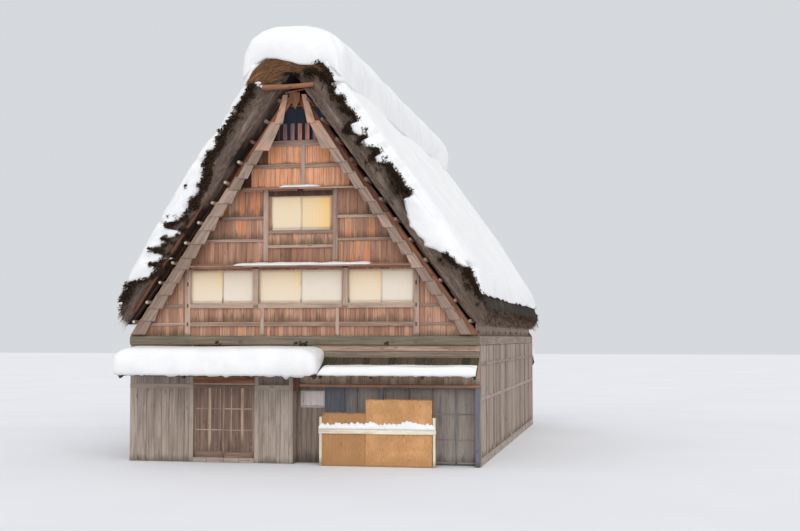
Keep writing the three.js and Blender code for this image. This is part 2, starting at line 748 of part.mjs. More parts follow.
// Extrudes a section along Y in rings that crowd towards the ends, where the dome sinks.
// The last points of the section, on both sides, are its seat and stay where they are.
function roundEnds(section, seatPoints, reach) {
  const rings = 12;
  const sinkOver = 1500;
  const shape = outline(section);
  const geometry = new THREE.ExtrudeGeometry(shape, { depth: 1, steps: rings, bevelEnabled: false });
  const seats = section.slice(-2 * seatPoints);
  const position = geometry.attributes.position;
  for (let i = 0; i < position.count; i += 1) {
    const x = position.getX(i);
    const z = position.getY(i);
    const along = 1 - 2 * position.getZ(i);
    const fromEnd = reach * (1 - Math.abs(along)) ** 3;
    const onSeat = seats.some(([sx, sz]) => Math.abs(sx - x) < 0.01 && Math.abs(sz - z) < 0.01);
    const sink = onSeat ? 0 : 0.3 * Math.max(0, 1 - fromEnd / sinkOver) ** 2;
    const sunkZ = z - sink * (z - seats[0][1]);
    const y = Math.sign(along) * (reach - fromEnd + ridgeSnowLean(sunkZ));
    position.setXYZ(i, x * (1 - 0.25 * sink), y, sunkZ);
  }
  geometry.computeVertexNormals();
  return geometry;
}

makeThatch();
makeRidgeCap();
makeRoofSnow();
makeRidgeSnow();
makeRoofFrames();
makeBargeBoards();
makeApexPole();
makeGables();
makeShoji();
makeBody();
makeEntranceWalls();
makeEntranceLeaves();
makeVeranda();
makeStrawMats();
makeFloors();
makePentRoofs();

export default house;
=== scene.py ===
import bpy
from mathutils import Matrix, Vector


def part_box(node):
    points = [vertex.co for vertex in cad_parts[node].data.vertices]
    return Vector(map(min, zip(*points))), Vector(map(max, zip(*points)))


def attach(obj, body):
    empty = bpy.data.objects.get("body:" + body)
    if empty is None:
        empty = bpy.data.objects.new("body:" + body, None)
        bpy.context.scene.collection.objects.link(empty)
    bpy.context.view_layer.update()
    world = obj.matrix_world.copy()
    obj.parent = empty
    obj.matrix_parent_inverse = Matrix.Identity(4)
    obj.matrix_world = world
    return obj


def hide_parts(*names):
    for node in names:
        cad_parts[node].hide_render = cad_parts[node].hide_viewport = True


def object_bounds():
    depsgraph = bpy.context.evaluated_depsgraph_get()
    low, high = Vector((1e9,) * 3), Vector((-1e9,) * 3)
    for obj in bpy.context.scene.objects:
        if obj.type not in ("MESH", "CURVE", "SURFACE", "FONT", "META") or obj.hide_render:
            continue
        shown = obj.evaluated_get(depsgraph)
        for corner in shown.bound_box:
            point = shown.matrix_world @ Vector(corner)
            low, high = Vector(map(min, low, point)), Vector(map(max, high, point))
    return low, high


bl_info = {
    "name": "Thatched Farmhouse in Snow",
    "version": (1, 0, 0),
    "blender": (4, 5, 0),
    "location": "View3D > Sidebar > Farmhouse",
    "description": "Dresses the packed farmhouse in boards, straw, paper and snow",
    "category": "Object",
}

import math
import random

import bmesh
import bpy
from bpy.props import FloatProperty, FloatVectorProperty, IntProperty, PointerProperty
from mathutils import Vector, noise

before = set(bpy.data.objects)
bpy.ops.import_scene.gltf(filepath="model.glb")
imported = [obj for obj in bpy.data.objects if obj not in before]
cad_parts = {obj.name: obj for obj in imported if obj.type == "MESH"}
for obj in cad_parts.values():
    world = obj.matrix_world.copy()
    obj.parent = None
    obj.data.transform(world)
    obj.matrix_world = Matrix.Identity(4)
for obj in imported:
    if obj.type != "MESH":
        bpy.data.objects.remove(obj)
CAD_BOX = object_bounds()

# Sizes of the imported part, in metres
HALF_WIDTH = 5.45
HALF_LENGTH = 9.1
WALL_TOP = 3.56
BEAM_TOP = 3.835
BAY = 1.82
WALL_FACE = HALF_LENGTH - 0.1
PLANK = 0.036  # Thickness of a wall's planks
LOOSE_FEET = 0.0  # How unevenly the planks stand on their sill
LYING = 0.4  # A board that is lower than this lies, and has no damp foot
PITCH = 1.386
SLOPE_COS = 1 / math.hypot(1, PITCH)
SLOPE_SIN = PITCH * SLOPE_COS
INNER_APEX = 11.7
OUTER_APEX = INNER_APEX + 0.91 * PITCH
WALL_DEPTH = 0.1785
GAP = 0.0003
FRONT, BACK = -1, 1
GABLES = ((FRONT, "front"), (BACK, "back"))
SLOPES = ((1, "right"), (-1, "left"))
UP = Vector((0, 0, 1))


def outer_x(z):
    """How far out the thatch's upper face is at a height"""
    return (OUTER_APEX - z) / PITCH


def under_roof(z, depth=WALL_DEPTH):
    """Half the width that is free at a height, some depth under the thatch"""
    return (INNER_APEX - depth / SLOPE_COS - z) / PITCH


def verge_lean(z):
    """How far a verge stands out further than at the eaves, because it leans out"""
    return 0.127 * (z - 4.64)


def shade(*tint):
    """A colour as it is seen, in the linear numbers that colour properties hold"""
    return tuple(((c + 0.055) / 1.055) ** 2.4 if c > 0.04 else c / 12.92 for c in tint)


def colour(name, description, *tint):
    """A colour that the user can set"""
    return FloatVectorProperty(
        name=name, description=description, subtype="COLOR", size=3, min=0, max=1, default=shade(*tint))


def length(name, description, default, top=1.0):
    """A length in metres that the user can set"""
    return FloatProperty(
        name=name, description=description, default=default, min=0, max=top, unit="LENGTH")


def straws(name, description, default):
    """A number of straws that the user can set"""
    return IntProperty(name=name, description=description, default=default, min=0, max=18000)


class FarmhouseTimber(bpy.types.PropertyGroup):
    board_width: length("Board width", "Usual width of a gable board", 0.17)
    board_gap: length("Board gap", "Open joint between two boards", 0.005, 0.05)
    ground_board_width: length("Ground floor board width", "Usual width of a board near the ground", 0.24)
    edge_wear: length("Edge wear", "How far the edges of posts and boards are worn off", 0.007, 0.05)
    gable_pale: colour("Gable pale", "Sun bleached boards of the gable", 0.79, 0.625, 0.52)
    gable_middle: colour("Gable middle", "Usual boards of the gable", 0.655, 0.485, 0.40)
    gable_warm: colour("Gable warm", "Gable boards that kept their orange heartwood", 0.84, 0.54, 0.38)
    gable_dark: colour("Gable dark", "Cracks and late wood of the gable boards", 0.36, 0.25, 0.20)
    gray_pale: colour("Gray pale", "Bleached timber", 0.70, 0.64, 0.59)
    gray_middle: colour("Gray middle", "Weathered gray timber", 0.58, 0.51, 0.46)
    gray_dark: colour("Gray dark", "Cracks of the gray timber", 0.34, 0.30, 0.27)
    red_middle: colour("Red middle", "Reddish brown timber near the entrance", 0.44, 0.30, 0.25)
    red_dark: colour("Red dark", "Cracks of the reddish brown timber", 0.20, 0.12, 0.09)
    barge_top: colour("Barge top", "Salmon tint of the barge boards near the ridge", 0.88, 0.65, 0.53)
    moss: colour("Moss", "Moss and damp at the foot of boards", 0.27, 0.25, 0.17)


class FarmhouseThatch(bpy.types.PropertyGroup):
    face: colour("Cut face", "Cut ends of the thatch on the verge", 0.62, 0.55, 0.50)
    face_dark: colour("Cut face dark", "Hollows between the bundles", 0.28, 0.23, 0.20)
    fringe: colour("Fringe", "Wet and mossy straw at the outer edge", 0.12, 0.10, 0.07)
    hood: colour("Hood", "Brown straw of the ridge hood", 0.60, 0.44, 0.32)
    straw: colour("Straw", "Dry straw that stands out", 0.66, 0.52, 0.36)
    fringe_straws: straws("Fringe straws", "Number of straws along each verge", 5200)
    face_straws: straws("Face straws", "Number of straws on each cut face", 5200)
    eave_straws: straws("Eave straws", "Number of straws along each eave", 2800)
    straw_width: length("Straw width", "Width of a bunch of straws that shows", 0.014, 0.1)


class FarmhouseSnow(bpy.types.PropertyGroup):
    bright: colour("Bright", "Fresh snow in full light", 0.96, 0.958, 0.95)
    shaded: colour("Shaded", "Packed snow between the crystals", 0.93, 0.93, 0.93)
    slope_depth: length("Slope depth", "Depth of the snow square to the roof", 0.33)
    unevenness: length("Unevenness", "Height of the long waves on the snow", 0.07)
    edge_waves: length("Edge waves", "How far the edge of the snow wanders", 0.22)


class FarmhouseScreens(bpy.types.PropertyGroup):
    paper: colour("Paper", "Window paper in daylight", 0.89, 0.86, 0.81)
    # Amber is painted lamp light; no lamp stands behind the paper
    amber: colour("Amber", "Window paper with the lamp light behind it", 0.96, 0.79, 0.50)
    frame_wood: colour("Frame wood", "Slim wooden frame of the screens", 0.85, 0.77, 0.66)
    # No bars stand behind the paper; this step spaces their painted shadow stripes
    bar_step: length("Bar step", "Distance between the bars behind the paper", 0.11)
    panel: colour("Dark panel", "Blue gray sliding panels of the veranda", 0.43, 0.44, 0.47)
    mat: colour("Straw mat", "Rice straw of the mats", 0.83, 0.62, 0.42)


class FarmhouseStage(bpy.types.PropertyGroup):
    floor: colour("Floor", "Plain pale studio floor", 0.91, 0.91, 0.92)
    backdrop: colour("Backdrop", "Even light all round", 0.84, 0.85, 0.865)
    key_strength: FloatProperty(
        name="Key light", description="Strength of the soft front light", default=1.15, min=0, max=20,
    )


SETTINGS = {
    "farmhouse_timber": FarmhouseTimber,
    "farmhouse_thatch": FarmhouseThatch,
    "farmhouse_snow": FarmhouseSnow,
    "farmhouse_screens": FarmhouseScreens,
    "farmhouse_stage": FarmhouseStage,
}


class Value:
    """One value that runs through a material's nodes, so that sums on it read as Python"""

    def __init__(self, paint, socket):
        self.paint = paint
        self.socket = socket

    def sum(self, operation, *values):
        """What a Math node makes of some values"""
        return self.paint.node("ShaderNodeMath", {"operation": operation}, dict(enumerate(values)))

    def __add__(self, other):
        return self.sum("ADD", self, other)

    def __sub__(self, other):
        return self.sum("SUBTRACT", self, other)

    def __rsub__(self, other):
        return self.sum("SUBTRACT", other, self)

    def __mul__(self, other):
        return self.sum("MULTIPLY", self, other)

    __radd__ = __add__
    __rmul__ = __mul__

    def between(self, low, high):
        """0 below low, 1 above high, and smooth between; low may be above high to turn it round"""
        turned = low > high
        return self.paint.node(
            "ShaderNodeMapRange", {"interpolation_type": "SMOOTHSTEP"},
            {0: self, 1: min(low, high), 2: max(low, high), 3: float(turned), 4: 1 - float(turned)},
        )


class Paint:
    """A finish under construction: its nodes, and the values that they give"""

    def __init__(self, name, constants):
        self.material = bpy.data.materials.new(name)
        self.material.use_nodes = True
        self.tree = self.material.node_tree
        self.shader = self.tree.nodes["Principled BSDF"]
        for socket, value in constants.items():
            self.shader.inputs[socket].default_value = value

    def node(self, kind, settings=None, sockets=None, output=0):
        """One of a node's outputs; its settings are set first, then its sockets are set or linked"""
        made = self.tree.nodes.new(kind)
        for name, value in (settings or {}).items():
            if name == "stops":
                self.place_stops(made.color_ramp, value)
            else:
                setattr(made, name, value)
        for name, value in (sockets or {}).items():
            if isinstance(value, Value):
                self.tree.links.new(value.socket, made.inputs[name])
            else:
                made.inputs[name].default_value = value
        return Value(self, made.outputs[output])

    def place_stops(self, ramp, stops):
        while len(ramp.elements) < len(stops):
            ramp.elements.new(1)
        for element, (position, colour_there) in zip(ramp.elements, stops):
            element.position = position
            element.color = (*colour_there, 1)

    def kept(self, name, output=2):
        """A value that the mesh keeps: a number, or with output 1 a vector"""
        return self.node("ShaderNodeAttribute", {"attribute_name": name}, output=output)

    def place(self):
        """The place on the object, in metres"""
        return self.node("ShaderNodeTexCoord", output=3)

    def stretch(self, vector, factors):
        """A vector with each of its parts scaled"""
        return self.node("ShaderNodeVectorMath", {"operation": "MULTIPLY"}, {0: vector, 1: factors})

    def noise(self, vector, scale, detail=3, roughness=0.55):
        return self.node(
            "ShaderNodeTexNoise", None,
            {"Vector": vector, "Scale": scale, "Detail": detail, "Roughness": roughness},
        )

    def spots(self, vector, scale):
        """Distance to the nearest of many scattered points"""
        return self.node("ShaderNodeTexVoronoi", None, {"Vector": vector, "Scale": scale})

    def mix(self, share, first, second):
        """A colour some share of the way between two colours or values"""
        first, second = (c if isinstance(c, Value) else (*c, 1) for c in (first, second))
        return self.node("ShaderNodeMix", {"data_type": "RGBA"}, {0: share, 6: first, 7: second}, output=2)

    def repeat(self, value, step):
        """0 to 1 over and over, once on each step"""
        return value.sum("FRACT", value * (1 / step))

    def ramp(self, value, stops):
        """The colour at a value, between stops with their places and colours"""
        return self.node("ShaderNodeValToRGB", {"stops": stops}, {0: value})

    def bump(self, height, distance, strength=1.0):
        """Small relief, with the height of a value of 1 in metres"""
        sockets = {"Height": height, "Distance": distance, "Strength": strength}
        self.feed("Normal", self.node("ShaderNodeBump", None, sockets))

    def feed(self, socket, value):
        self.tree.links.new(value.socket, self.shader.inputs[socket])


def wood_finish(name, pale, middle, dark, moss, warm=None, damp=0.25, roughness=0.85):
    """Weathered boards: fibres and streaks along the grain, knots, cracks, and damp feet"""
    paint = Paint(name, {"Specular IOR Level": 0.25})
    grain = paint.kept("grain", 1)
    tone = paint.kept("tone")
    foot = paint.kept("foot")
    fibre = paint.noise(paint.stretch(grain, (3, 110, 110)), 1, 4, 0.65)
    streak = paint.noise(paint.stretch(grain, (0.8, 22, 22)), 1, 3)
    cloud = paint.noise(paint.stretch(grain, (1.2, 3.5, 3.5)), 1, 2)
    knot = paint.spots(paint.stretch(grain, (1.3, 5.5, 5.5)), 1).between(0.13, 0.05)
    crack = paint.noise(paint.stretch(grain, (1.1, 60, 60)), 1, 2).between(0.66, 0.74)
    colour_here = paint.mix((tone + (streak - 0.5) * 1.1).between(0.1, 0.9), middle, pale)
    if warm:
        colour_here = paint.mix((tone + (cloud - 0.5) * 0.9).between(0.70, 1.05) * 0.8, colour_here, warm)
    colour_here = paint.mix((fibre * 0.5 + streak * 0.5).between(0.56, 0.34) * 0.45, colour_here, dark)
    colour_here = paint.mix(cloud.between(0.5, 0.28) * 0.25, colour_here, dark)
    colour_here = paint.mix(crack * 0.6, colour_here, dark)
    colour_here = paint.mix(knot * 0.6, colour_here, dark)
    wet = (foot + (cloud - 0.5) * damp * 2 + (fibre - 0.5) * damp).between(damp, 0.0)
    colour_here = paint.mix(wet * 0.6, colour_here, moss)
    # Tones below -0.4 turn the wood near black. The gables and the verge poles use them as painted shade,
    # under the ledges and the roof and in the gap under the thatch; the damp boards below the upper window
    # and the tenon ends use them too.
    colour_here = paint.mix(tone.between(-0.4, -0.6), colour_here, (0.012, 0.01, 0.009))
    paint.feed("Base Color", colour_here)
    paint.feed("Roughness", fibre * 0.25 + (roughness - 0.12))
    paint.bump(fibre * 0.5 + streak * 0.7 - crack * 0.8 + knot * 0.4, 0.006)
    return paint.material


def snow_finish(settings):
    """Fresh snow with fine crumbs"""
    paint = Paint("fresh_snow", {"Specular IOR Level": 0.3, "Roughness": 0.55})
    place = paint.place()
    drift = paint.noise(place, 1.7, 4)
    crumbs = paint.noise(place, 38, 4, 0.7)
    packed = paint.mix((drift * 0.6 + crumbs * 0.4).between(0.62, 0.4), settings.bright, settings.shaded)
    paint.feed("Base Color", packed)
    paint.bump(drift * 0.6 + crumbs * 0.16, 0.03, 0.6)
    return paint.material


def thatch_finish(name, settings, face, face_dark):
    """Straw laid along the slope; tone runs from 0 at the inner face to 1 at the mossy outer one"""
    paint = Paint(name, {"Specular IOR Level": 0.15})
    grain = paint.kept("grain", 1)
    tone = paint.kept("tone")
    stalk = paint.noise(paint.stretch(grain, (3.5, 75, 75)), 1, 4, 0.7)
    bundle = paint.noise(paint.stretch(grain, (0.9, 9, 5)), 1, 4)
    cloud = paint.noise(grain, 1.3, 3)
    colour_here = paint.mix((stalk * 0.5 + bundle * 0.5).between(0.36, 0.64), face_dark, face)
    colour_here = paint.mix(stalk.between(0.62, 0.8) * 0.35, colour_here, settings.straw)
    # High tones turn the straw to the fringe colour: the mossy outer edge, and also the painted shade that
    # the slabs carry in their tone
    outer = (tone + (bundle - 0.5) * 0.6 + (cloud - 0.5) * 0.7).between(0.58, 0.92)
    colour_here = paint.mix(outer * 0.9, colour_here, settings.fringe)
    paint.feed("Base Color", colour_here)
    paint.feed("Roughness", 0.98 - stalk * 0.15)
    paint.bump(stalk * 0.7 + bundle * 1.0, 0.02)
    return paint.material


def straw_finish(name, stops):
    """Loose straws; tone picks the colour of each, and every straw varies a little along its length"""
    paint = Paint(name, {"Specular IOR Level": 0.2, "Roughness": 0.9})
    grain = paint.kept("grain", 1)
    along = paint.noise(paint.stretch(grain, (9, 60, 60)), 1, 2)
    tone = paint.kept("tone") + (along - 0.5) * 0.25
    paint.feed("Base Color", paint.ramp(tone, stops))
    paint.bump(along, 0.004)
    return paint.material


def paper_finish(settings):
    """Window paper: tone holds how warm it is, a painted glow of lamp light with no lamp behind it; faint
    stripes are painted shadows of bars that are not modelled, and a little emission makes the paper glow,
    as painted light
    """
    paint = Paint("window_paper", {"Specular IOR Level": 0.2, "Emission Strength": 0.05})
    grain = paint.kept("grain", 1)
    across = paint.node("ShaderNodeSeparateXYZ", None, {0: grain})
    upward = paint.node("ShaderNodeSeparateXYZ", None, {0: grain}, output=2)
    fibres = paint.noise(paint.stretch(grain, (60, 1, 60)), 1, 4)
    stripe = paint.repeat(across, settings.bar_step)
    rung = paint.repeat(upward, settings.bar_step * 2.4)
    # Painted shadow of the bars behind the paper, which are not modelled
    shadow = stripe.between(0.2, 0.04) + rung.between(0.1, 0.02) * 0.4
    colour_here = paint.mix(paint.kept("tone"), settings.paper, settings.amber)
    colour_here = paint.mix((fibres - 0.5).between(0, 0.3) * 0.18, colour_here, (0.62, 0.55, 0.44))
    colour_here = paint.mix(shadow * 0.10, colour_here, (0.50, 0.40, 0.27))
    paint.feed("Base Color", colour_here)
    # Painted light: the paper glows faintly in its own colour
    paint.feed("Emission Color", colour_here)
    paint.feed("Roughness", fibres * 0.2 + 0.7)
    paint.bump(fibres + shadow * 0.3, 0.002)
    return paint.material


def matting_finish(settings):
    """Fine rice straw; tone gives each stalk its shade, and the foot is a little damp"""
    paint = Paint("rice_straw_matting", {"Specular IOR Level": 0.25})
    grain = paint.kept("grain", 1)
    tone = paint.kept("tone")
    stalk = paint.noise(paint.stretch(grain, (7, 150, 150)), 1, 4, 0.7)
    cloud = paint.noise(grain, 1.6, 4)
    dark = tuple(c * 0.55 for c in settings.mat)
    pale = tuple(min(1, c * 1.2 + 0.03) for c in settings.mat)
    colour_here = paint.mix(stalk.between(0.38, 0.58), mixed(dark, settings.mat, 0.15), settings.mat)
    colour_here = paint.mix((cloud * 0.6 + stalk * 0.4).between(0.42, 0.72), colour_here, pale)
    colour_here = paint.mix(tone.between(0.45, 0.0) * 0.85, colour_here, dark)
    colour_here = paint.mix(paint.kept("foot").between(0.4, 0.0) * 0.4, colour_here, dark)
    paint.feed("Base Color", colour_here)
    paint.feed("Roughness", 0.95 - stalk * 0.2)
    paint.bump(stalk, 0.003)
    return paint.material


BLACK, WHITE = (0, 0, 0), (1, 1, 1)


def mixed(first, second, share):
    """A colour some share of the way from the first to the second"""
    return tuple(a * (1 - share) + b * share for a, b in zip(first, second))


def wood_recipes(timber, screens):
    """What wood_finish takes for each wood: its pale, middle and dark tint and the tint of its foot,
    and where it has them a warm tint, how damp it is and how rough"""
    pale_gray, gray, dark_gray = timber.gray_pale, timber.gray_middle, timber.gray_dark
    pale_gable, gable, dark_gable = timber.gable_pale, timber.gable_middle, timber.gable_dark
    red, dark_red, moss = timber.red_middle, timber.red_dark, timber.moss
    panel, slim = screens.panel, screens.frame_wood
    half_bleached = mixed(pale_gable, pale_gray, 0.5)
    return {
        "gable_boards": (pale_gable, gable, dark_gable, moss, timber.gable_warm, 0.3),
        # The top storey's boards are brighter than the rest of the gable: partly sun bleached, and partly
        # painted light that lifts them out of the roof's shade
        "bleached_and_lit_boards": (shade(0.95, 0.71, 0.56), shade(0.84, 0.57, 0.43), shade(0.44, 0.26, 0.20),
                            moss, shade(0.95, 0.64, 0.43), 0.1),
        "slat_wood": (shade(0.86, 0.60, 0.50), shade(0.62, 0.47, 0.48), shade(0.3, 0.22, 0.24),
                      moss, None, 0.05),
        "vent_shadow": (shade(0.38, 0.43, 0.50), shade(0.30, 0.34, 0.41), shade(0.18, 0.20, 0.25),
                        moss, None, 0.05),
        "rust_boards": (shade(0.62, 0.43, 0.32), shade(0.47, 0.30, 0.22), dark_red, moss, None, 0.05),
        "gray_timber_grain": (pale_gray, gray, dark_gray, moss),
        "rose_timber": (mixed(pale_gray, pale_gable, 0.35), mixed(gray, gable, 0.25), dark_gable,
                        moss, None, 0.12),
        "barge_wood": (mixed(pale_gray, pale_gable, 0.3), mixed(gray, gable, 0.2), dark_gray,
                       dark_gray, timber.barge_top, 0.05),
        "red_timber_grain": (mixed(red, pale_gray, 0.55), red, dark_red, moss),
        "door_wood": (half_bleached, mixed(red, gray, 0.5), dark_red, moss, None, 0.4),
        "dark_panel_wood": (mixed(panel, pale_gray, 0.8), panel, mixed(panel, BLACK, 0.6),
                            moss, None, 0.3, 0.6),
        "beam_wood": (shade(0.58, 0.52, 0.46), shade(0.44, 0.41, 0.34), dark_gray, moss),
        "mossy_boards": (shade(0.34, 0.30, 0.23), shade(0.24, 0.21, 0.15), shade(0.12, 0.10, 0.07), moss),
        "head_wood": (half_bleached, gable, dark_red, moss),
        # The recess wall is darker towards its foot, over half a metre, in gray brown
        "recess_wood": (mixed(pale_gray, red, 0.15), gray, dark_gray, shade(0.2, 0.19, 0.17), None, 0.5),
        "hatch_board": (shade(0.90, 0.86, 0.84), shade(0.84, 0.80, 0.78), shade(0.6, 0.56, 0.54),
                        moss, None, 0.05),
        "pale_rail_wood": (shade(0.95, 0.92, 0.84), shade(0.86, 0.79, 0.66), shade(0.5, 0.38, 0.25),
                           shade(0.45, 0.38, 0.27)),
        "floor_planks": (shade(0.6, 0.5, 0.4), shade(0.45, 0.36, 0.28), shade(0.2, 0.15, 0.11), moss),
        "screen_wood": (mixed(slim, WHITE, 0.2), slim, mixed(slim, BLACK, 0.5), moss),
    }


def straw_stops(thatch, screens):
    """The colours that each kind of loose straw runs through, with their places from 0 to 1"""
    fringe, hood, mat = thatch.fringe, thatch.hood, screens.mat
    return {
        "loose_straw": ((0, fringe), (0.35, mixed(fringe, hood, 0.35)),
                        (0.65, thatch.face), (1, thatch.straw)),
        "hood_straw": ((0, fringe), (0.4, mixed(hood, BLACK, 0.55)), (0.75, hood), (1, thatch.straw)),
        "loose_mat_straw": ((0, mixed(mat, BLACK, 0.6)), (0.5, mixed(mat, BLACK, 0.25)), (1, mat)),
        "beam_moss": ((0, shade(0.27, 0.25, 0.17)), (0.3, shade(0.38, 0.35, 0.25))),
    }


def finish(name):
    """The finish of that name, made when it is first asked for"""
    found = bpy.data.materials.get(name)
    if found:
        return found
    scene = bpy.context.scene
    thatch, screens = scene.farmhouse_thatch, scene.farmhouse_screens
    woods, straws = wood_recipes(scene.farmhouse_timber, screens), straw_stops(thatch, screens)
    slabs = {
        "thatch_slab": (thatch.face, thatch.face_dark),
        "hood_slab": (thatch.hood, mixed(thatch.hood, BLACK, 0.7)),
    }
    if name in woods:
        return wood_finish(name, *woods[name])
    if name in straws:
        return straw_finish(name, straws[name])
    if name in slabs:
        return thatch_finish(name, thatch, *slabs[name])
    others = {
        "fresh_snow": (snow_finish, scene.farmhouse_snow),
        "window_paper": (paper_finish, screens),
        "rice_straw_matting": (matting_finish, screens),
    }
    make, settings = others[name]
    return make(settings)


class Gathering:
    """Many parts gathered into one mesh. Each corner keeps its place along and across its own
    grain, the tone of its part and, on boards, its height above the board's foot."""
    smooth = False

    def __init__(self, seed):
        self.dice = random.Random(seed)
        self.points, self.faces = [], []
        self.grain, self.tone, self.foot = [], [], []

    def pick(self, low, high):
        return self.dice.uniform(low, high)

    def done(self, name, finish_name, slot, *nodes, body="house"):
        """Makes the mesh and settles it on its body"""
        made = build(name, self.points, self.faces, finish_name, self.smooth)
        keep(made, "grain", self.grain)
        keep(made, "tone", self.tone)
        if self.foot:
            keep(made, "foot", self.foot)
        settle(made, slot, *nodes, body=body)


class Joinery(Gathering):
    """Boards, bars and poles"""

    def add(self, points, faces, along, side, tone):
        """Takes in one board or pole; without a tone it gets one by chance"""
        first = len(self.points)
        up = along.cross(side)
        low = min(p.z for p in points)
        if max(p.z for p in points) - low < LYING:
            low -= 1
        shift = Vector([self.pick(0, 40) for _ in range(3)])
        tone = self.pick(0, 1) if tone is None else tone
        for point in points:
            place = point - points[0]
            self.points.append(point)
            self.grain.append(Vector((place.dot(along), place.dot(side), place.dot(up))) + shift)
            self.tone.append(tone)
            self.foot.append(point.z - low)
        self.faces.extend([first + i for i in face] for face in faces)

    def board(self, corners, out, thick, bevel=0.004, along=UP, tone=None):
        """A flat board with any convex outline; its back lies on the corners and its front faces out"""
        out = Vector(out).normalized()
        corners = [Vector(c) for c in corners]
        turn = sum((a.cross(b) for a, b in zip(corners, corners[1:] + corners[:1])), Vector())
        if turn.dot(out) < 0:
            corners.reverse()
        count = len(corners)
        front = []
        for i, corner in enumerate(corners):
            before = out.cross((corner - corners[i - 1]).normalized())
            after = out.cross((corners[(i + 1) % count] - corner).normalized())
            front.append(corner + out * thick + (before + after) * (bevel / (1 + before.dot(after))))
        rim = [c + out * (thick - bevel) for c in corners]
        faces = [list(range(count))[::-1], [2 * count + i for i in range(count)]]
        for i in range(count):
            j = (i + 1) % count
            faces.append([i, j, count + j, count + i])
            faces.append([count + i, count + j, 2 * count + j, 2 * count + i])
        self.add(corners + rim + front, faces, Vector(along).normalized(), out, tone)

    def sweep(self, rings, along, side, tone):
        """Closed rings of points joined one after another, with both ends capped"""
        count = len(rings[0])
        faces = [list(range(count))[::-1], [(len(rings) - 1) * count + i for i in range(count)]]
        for a in range(0, (len(rings) - 1) * count, count):
            for i in range(count):
                j = (i + 1) % count
                faces.append([a + i, a + j, a + count + j, a + count + i])
        self.add([p for ring in rings for p in ring], faces, along, side, tone)

    def bar(self, start, end, side, wide, deep, bevel=0.008, bow=0.0, tone=None, spans=1):
        """A squared bar with worn edges, wide along side, and bowed by a few millimetres"""
        start, end = Vector(start), Vector(end)
        along = (end - start).normalized()
        side = Vector(side)
        side = (side - along * side.dot(along)).normalized()
        up = along.cross(side)
        x, y = wide / 2, deep / 2
        outline = [(x - bevel, -y), (x, bevel - y), (x, y - bevel), (x - bevel, y),
                   (bevel - x, y), (-x, y - bevel), (-x, bevel - y), (bevel - x, -y)]
        reach = (end - start).length
        inset = min(bevel, reach / 4)
        stations = [0, inset] + [reach * i / spans for i in range(1, spans)] + [reach - inset, reach]
        bow_side, bow_up = self.pick(-bow, bow), self.pick(-bow, bow)
        rings = []
        for number, station in enumerate(stations):
            shrink = inset if number in (0, len(stations) - 1) else 0
            swell = math.sin(math.pi * station / reach)
            centre = start + along * station + side * bow_side * swell + up * bow_up * swell
            rings.append([
                centre + side * (a - math.copysign(min(shrink, abs(a)), a))
                + up * (b - math.copysign(min(shrink, abs(b)), b)) for a, b in outline
            ])
        self.sweep(rings, along, side, tone)

    def post(self, x, y, z0, z1, wide, deep, *finer):
        """An upright bar, wide along X; finer is the bar's bevel, bow, tone and spans"""
        self.bar((x, y, z0), (x, y, z1), (1, 0, 0), wide, deep, *finer)

    def rail(self, x0, x1, y, z, high, deep, *finer):
        """A level bar along X; finer is the bar's bevel, bow, tone and spans"""
        self.bar((x0, y, z), (x1, y, z), UP, high, deep, *finer)

    def panel(self, x0, x1, z0, z1, y, side, thick, bevel=0.003, tone=0.1):
        """An upright board that faces along Y, with its back at y"""
        self.board(upright(x0, x1, z0, z1, y), (0, side, 0), thick, bevel, UP, tone)

    def pole(self, start, end, radius, end_radius, bow=0.01, tone=None, spans=5, sides=10):
        """A round pole, a little crooked"""
        start, end = Vector(start), Vector(end)
        along = (end - start).normalized()
        side = along.orthogonal().normalized()
        up = along.cross(side)
        bend = side * self.pick(-bow, bow) + up * self.pick(-bow, bow)
        rings = []
        for i in range(spans + 1):
            share = i / spans
            size = (radius + (end_radius - radius) * share) * (1 + self.pick(-0.05, 0.05))
            centre = start.lerp(end, share) + bend * math.sin(math.pi * share)
            rings.append([
                centre + (side * math.cos(turn) + up * math.sin(turn)) * size
                for turn in (math.tau * k / sides for k in range(sides))
            ])
        self.sweep(rings, along, side, tone)

    def widths(self, start, end, width, low=0.75, high=1.3, least=0.12):
        """Places and widths of uneven planks that fill a stretch, none of them narrower than least"""
        while start < end - 0.02:
            step = width * self.pick(low, high)
            if end - start - step < least:
                step = end - start
            yield start, step
            start += step


class Poles(Joinery):
    """Round poles, whose mesh is shaded smooth"""
    smooth = True


def upright(x0, x1, z0, z1, y):
    """The corners of an upright rectangle that faces along Y"""
    return [(x0, y, z0), (x1, y, z0), (x1, y, z1), (x0, y, z1)]


def inside(point):
    """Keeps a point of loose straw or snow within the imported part's box"""
    low, high = CAD_BOX
    return Vector([min(max(p, a + 0.002), b - 0.002) for p, a, b in zip(point, low, high)])


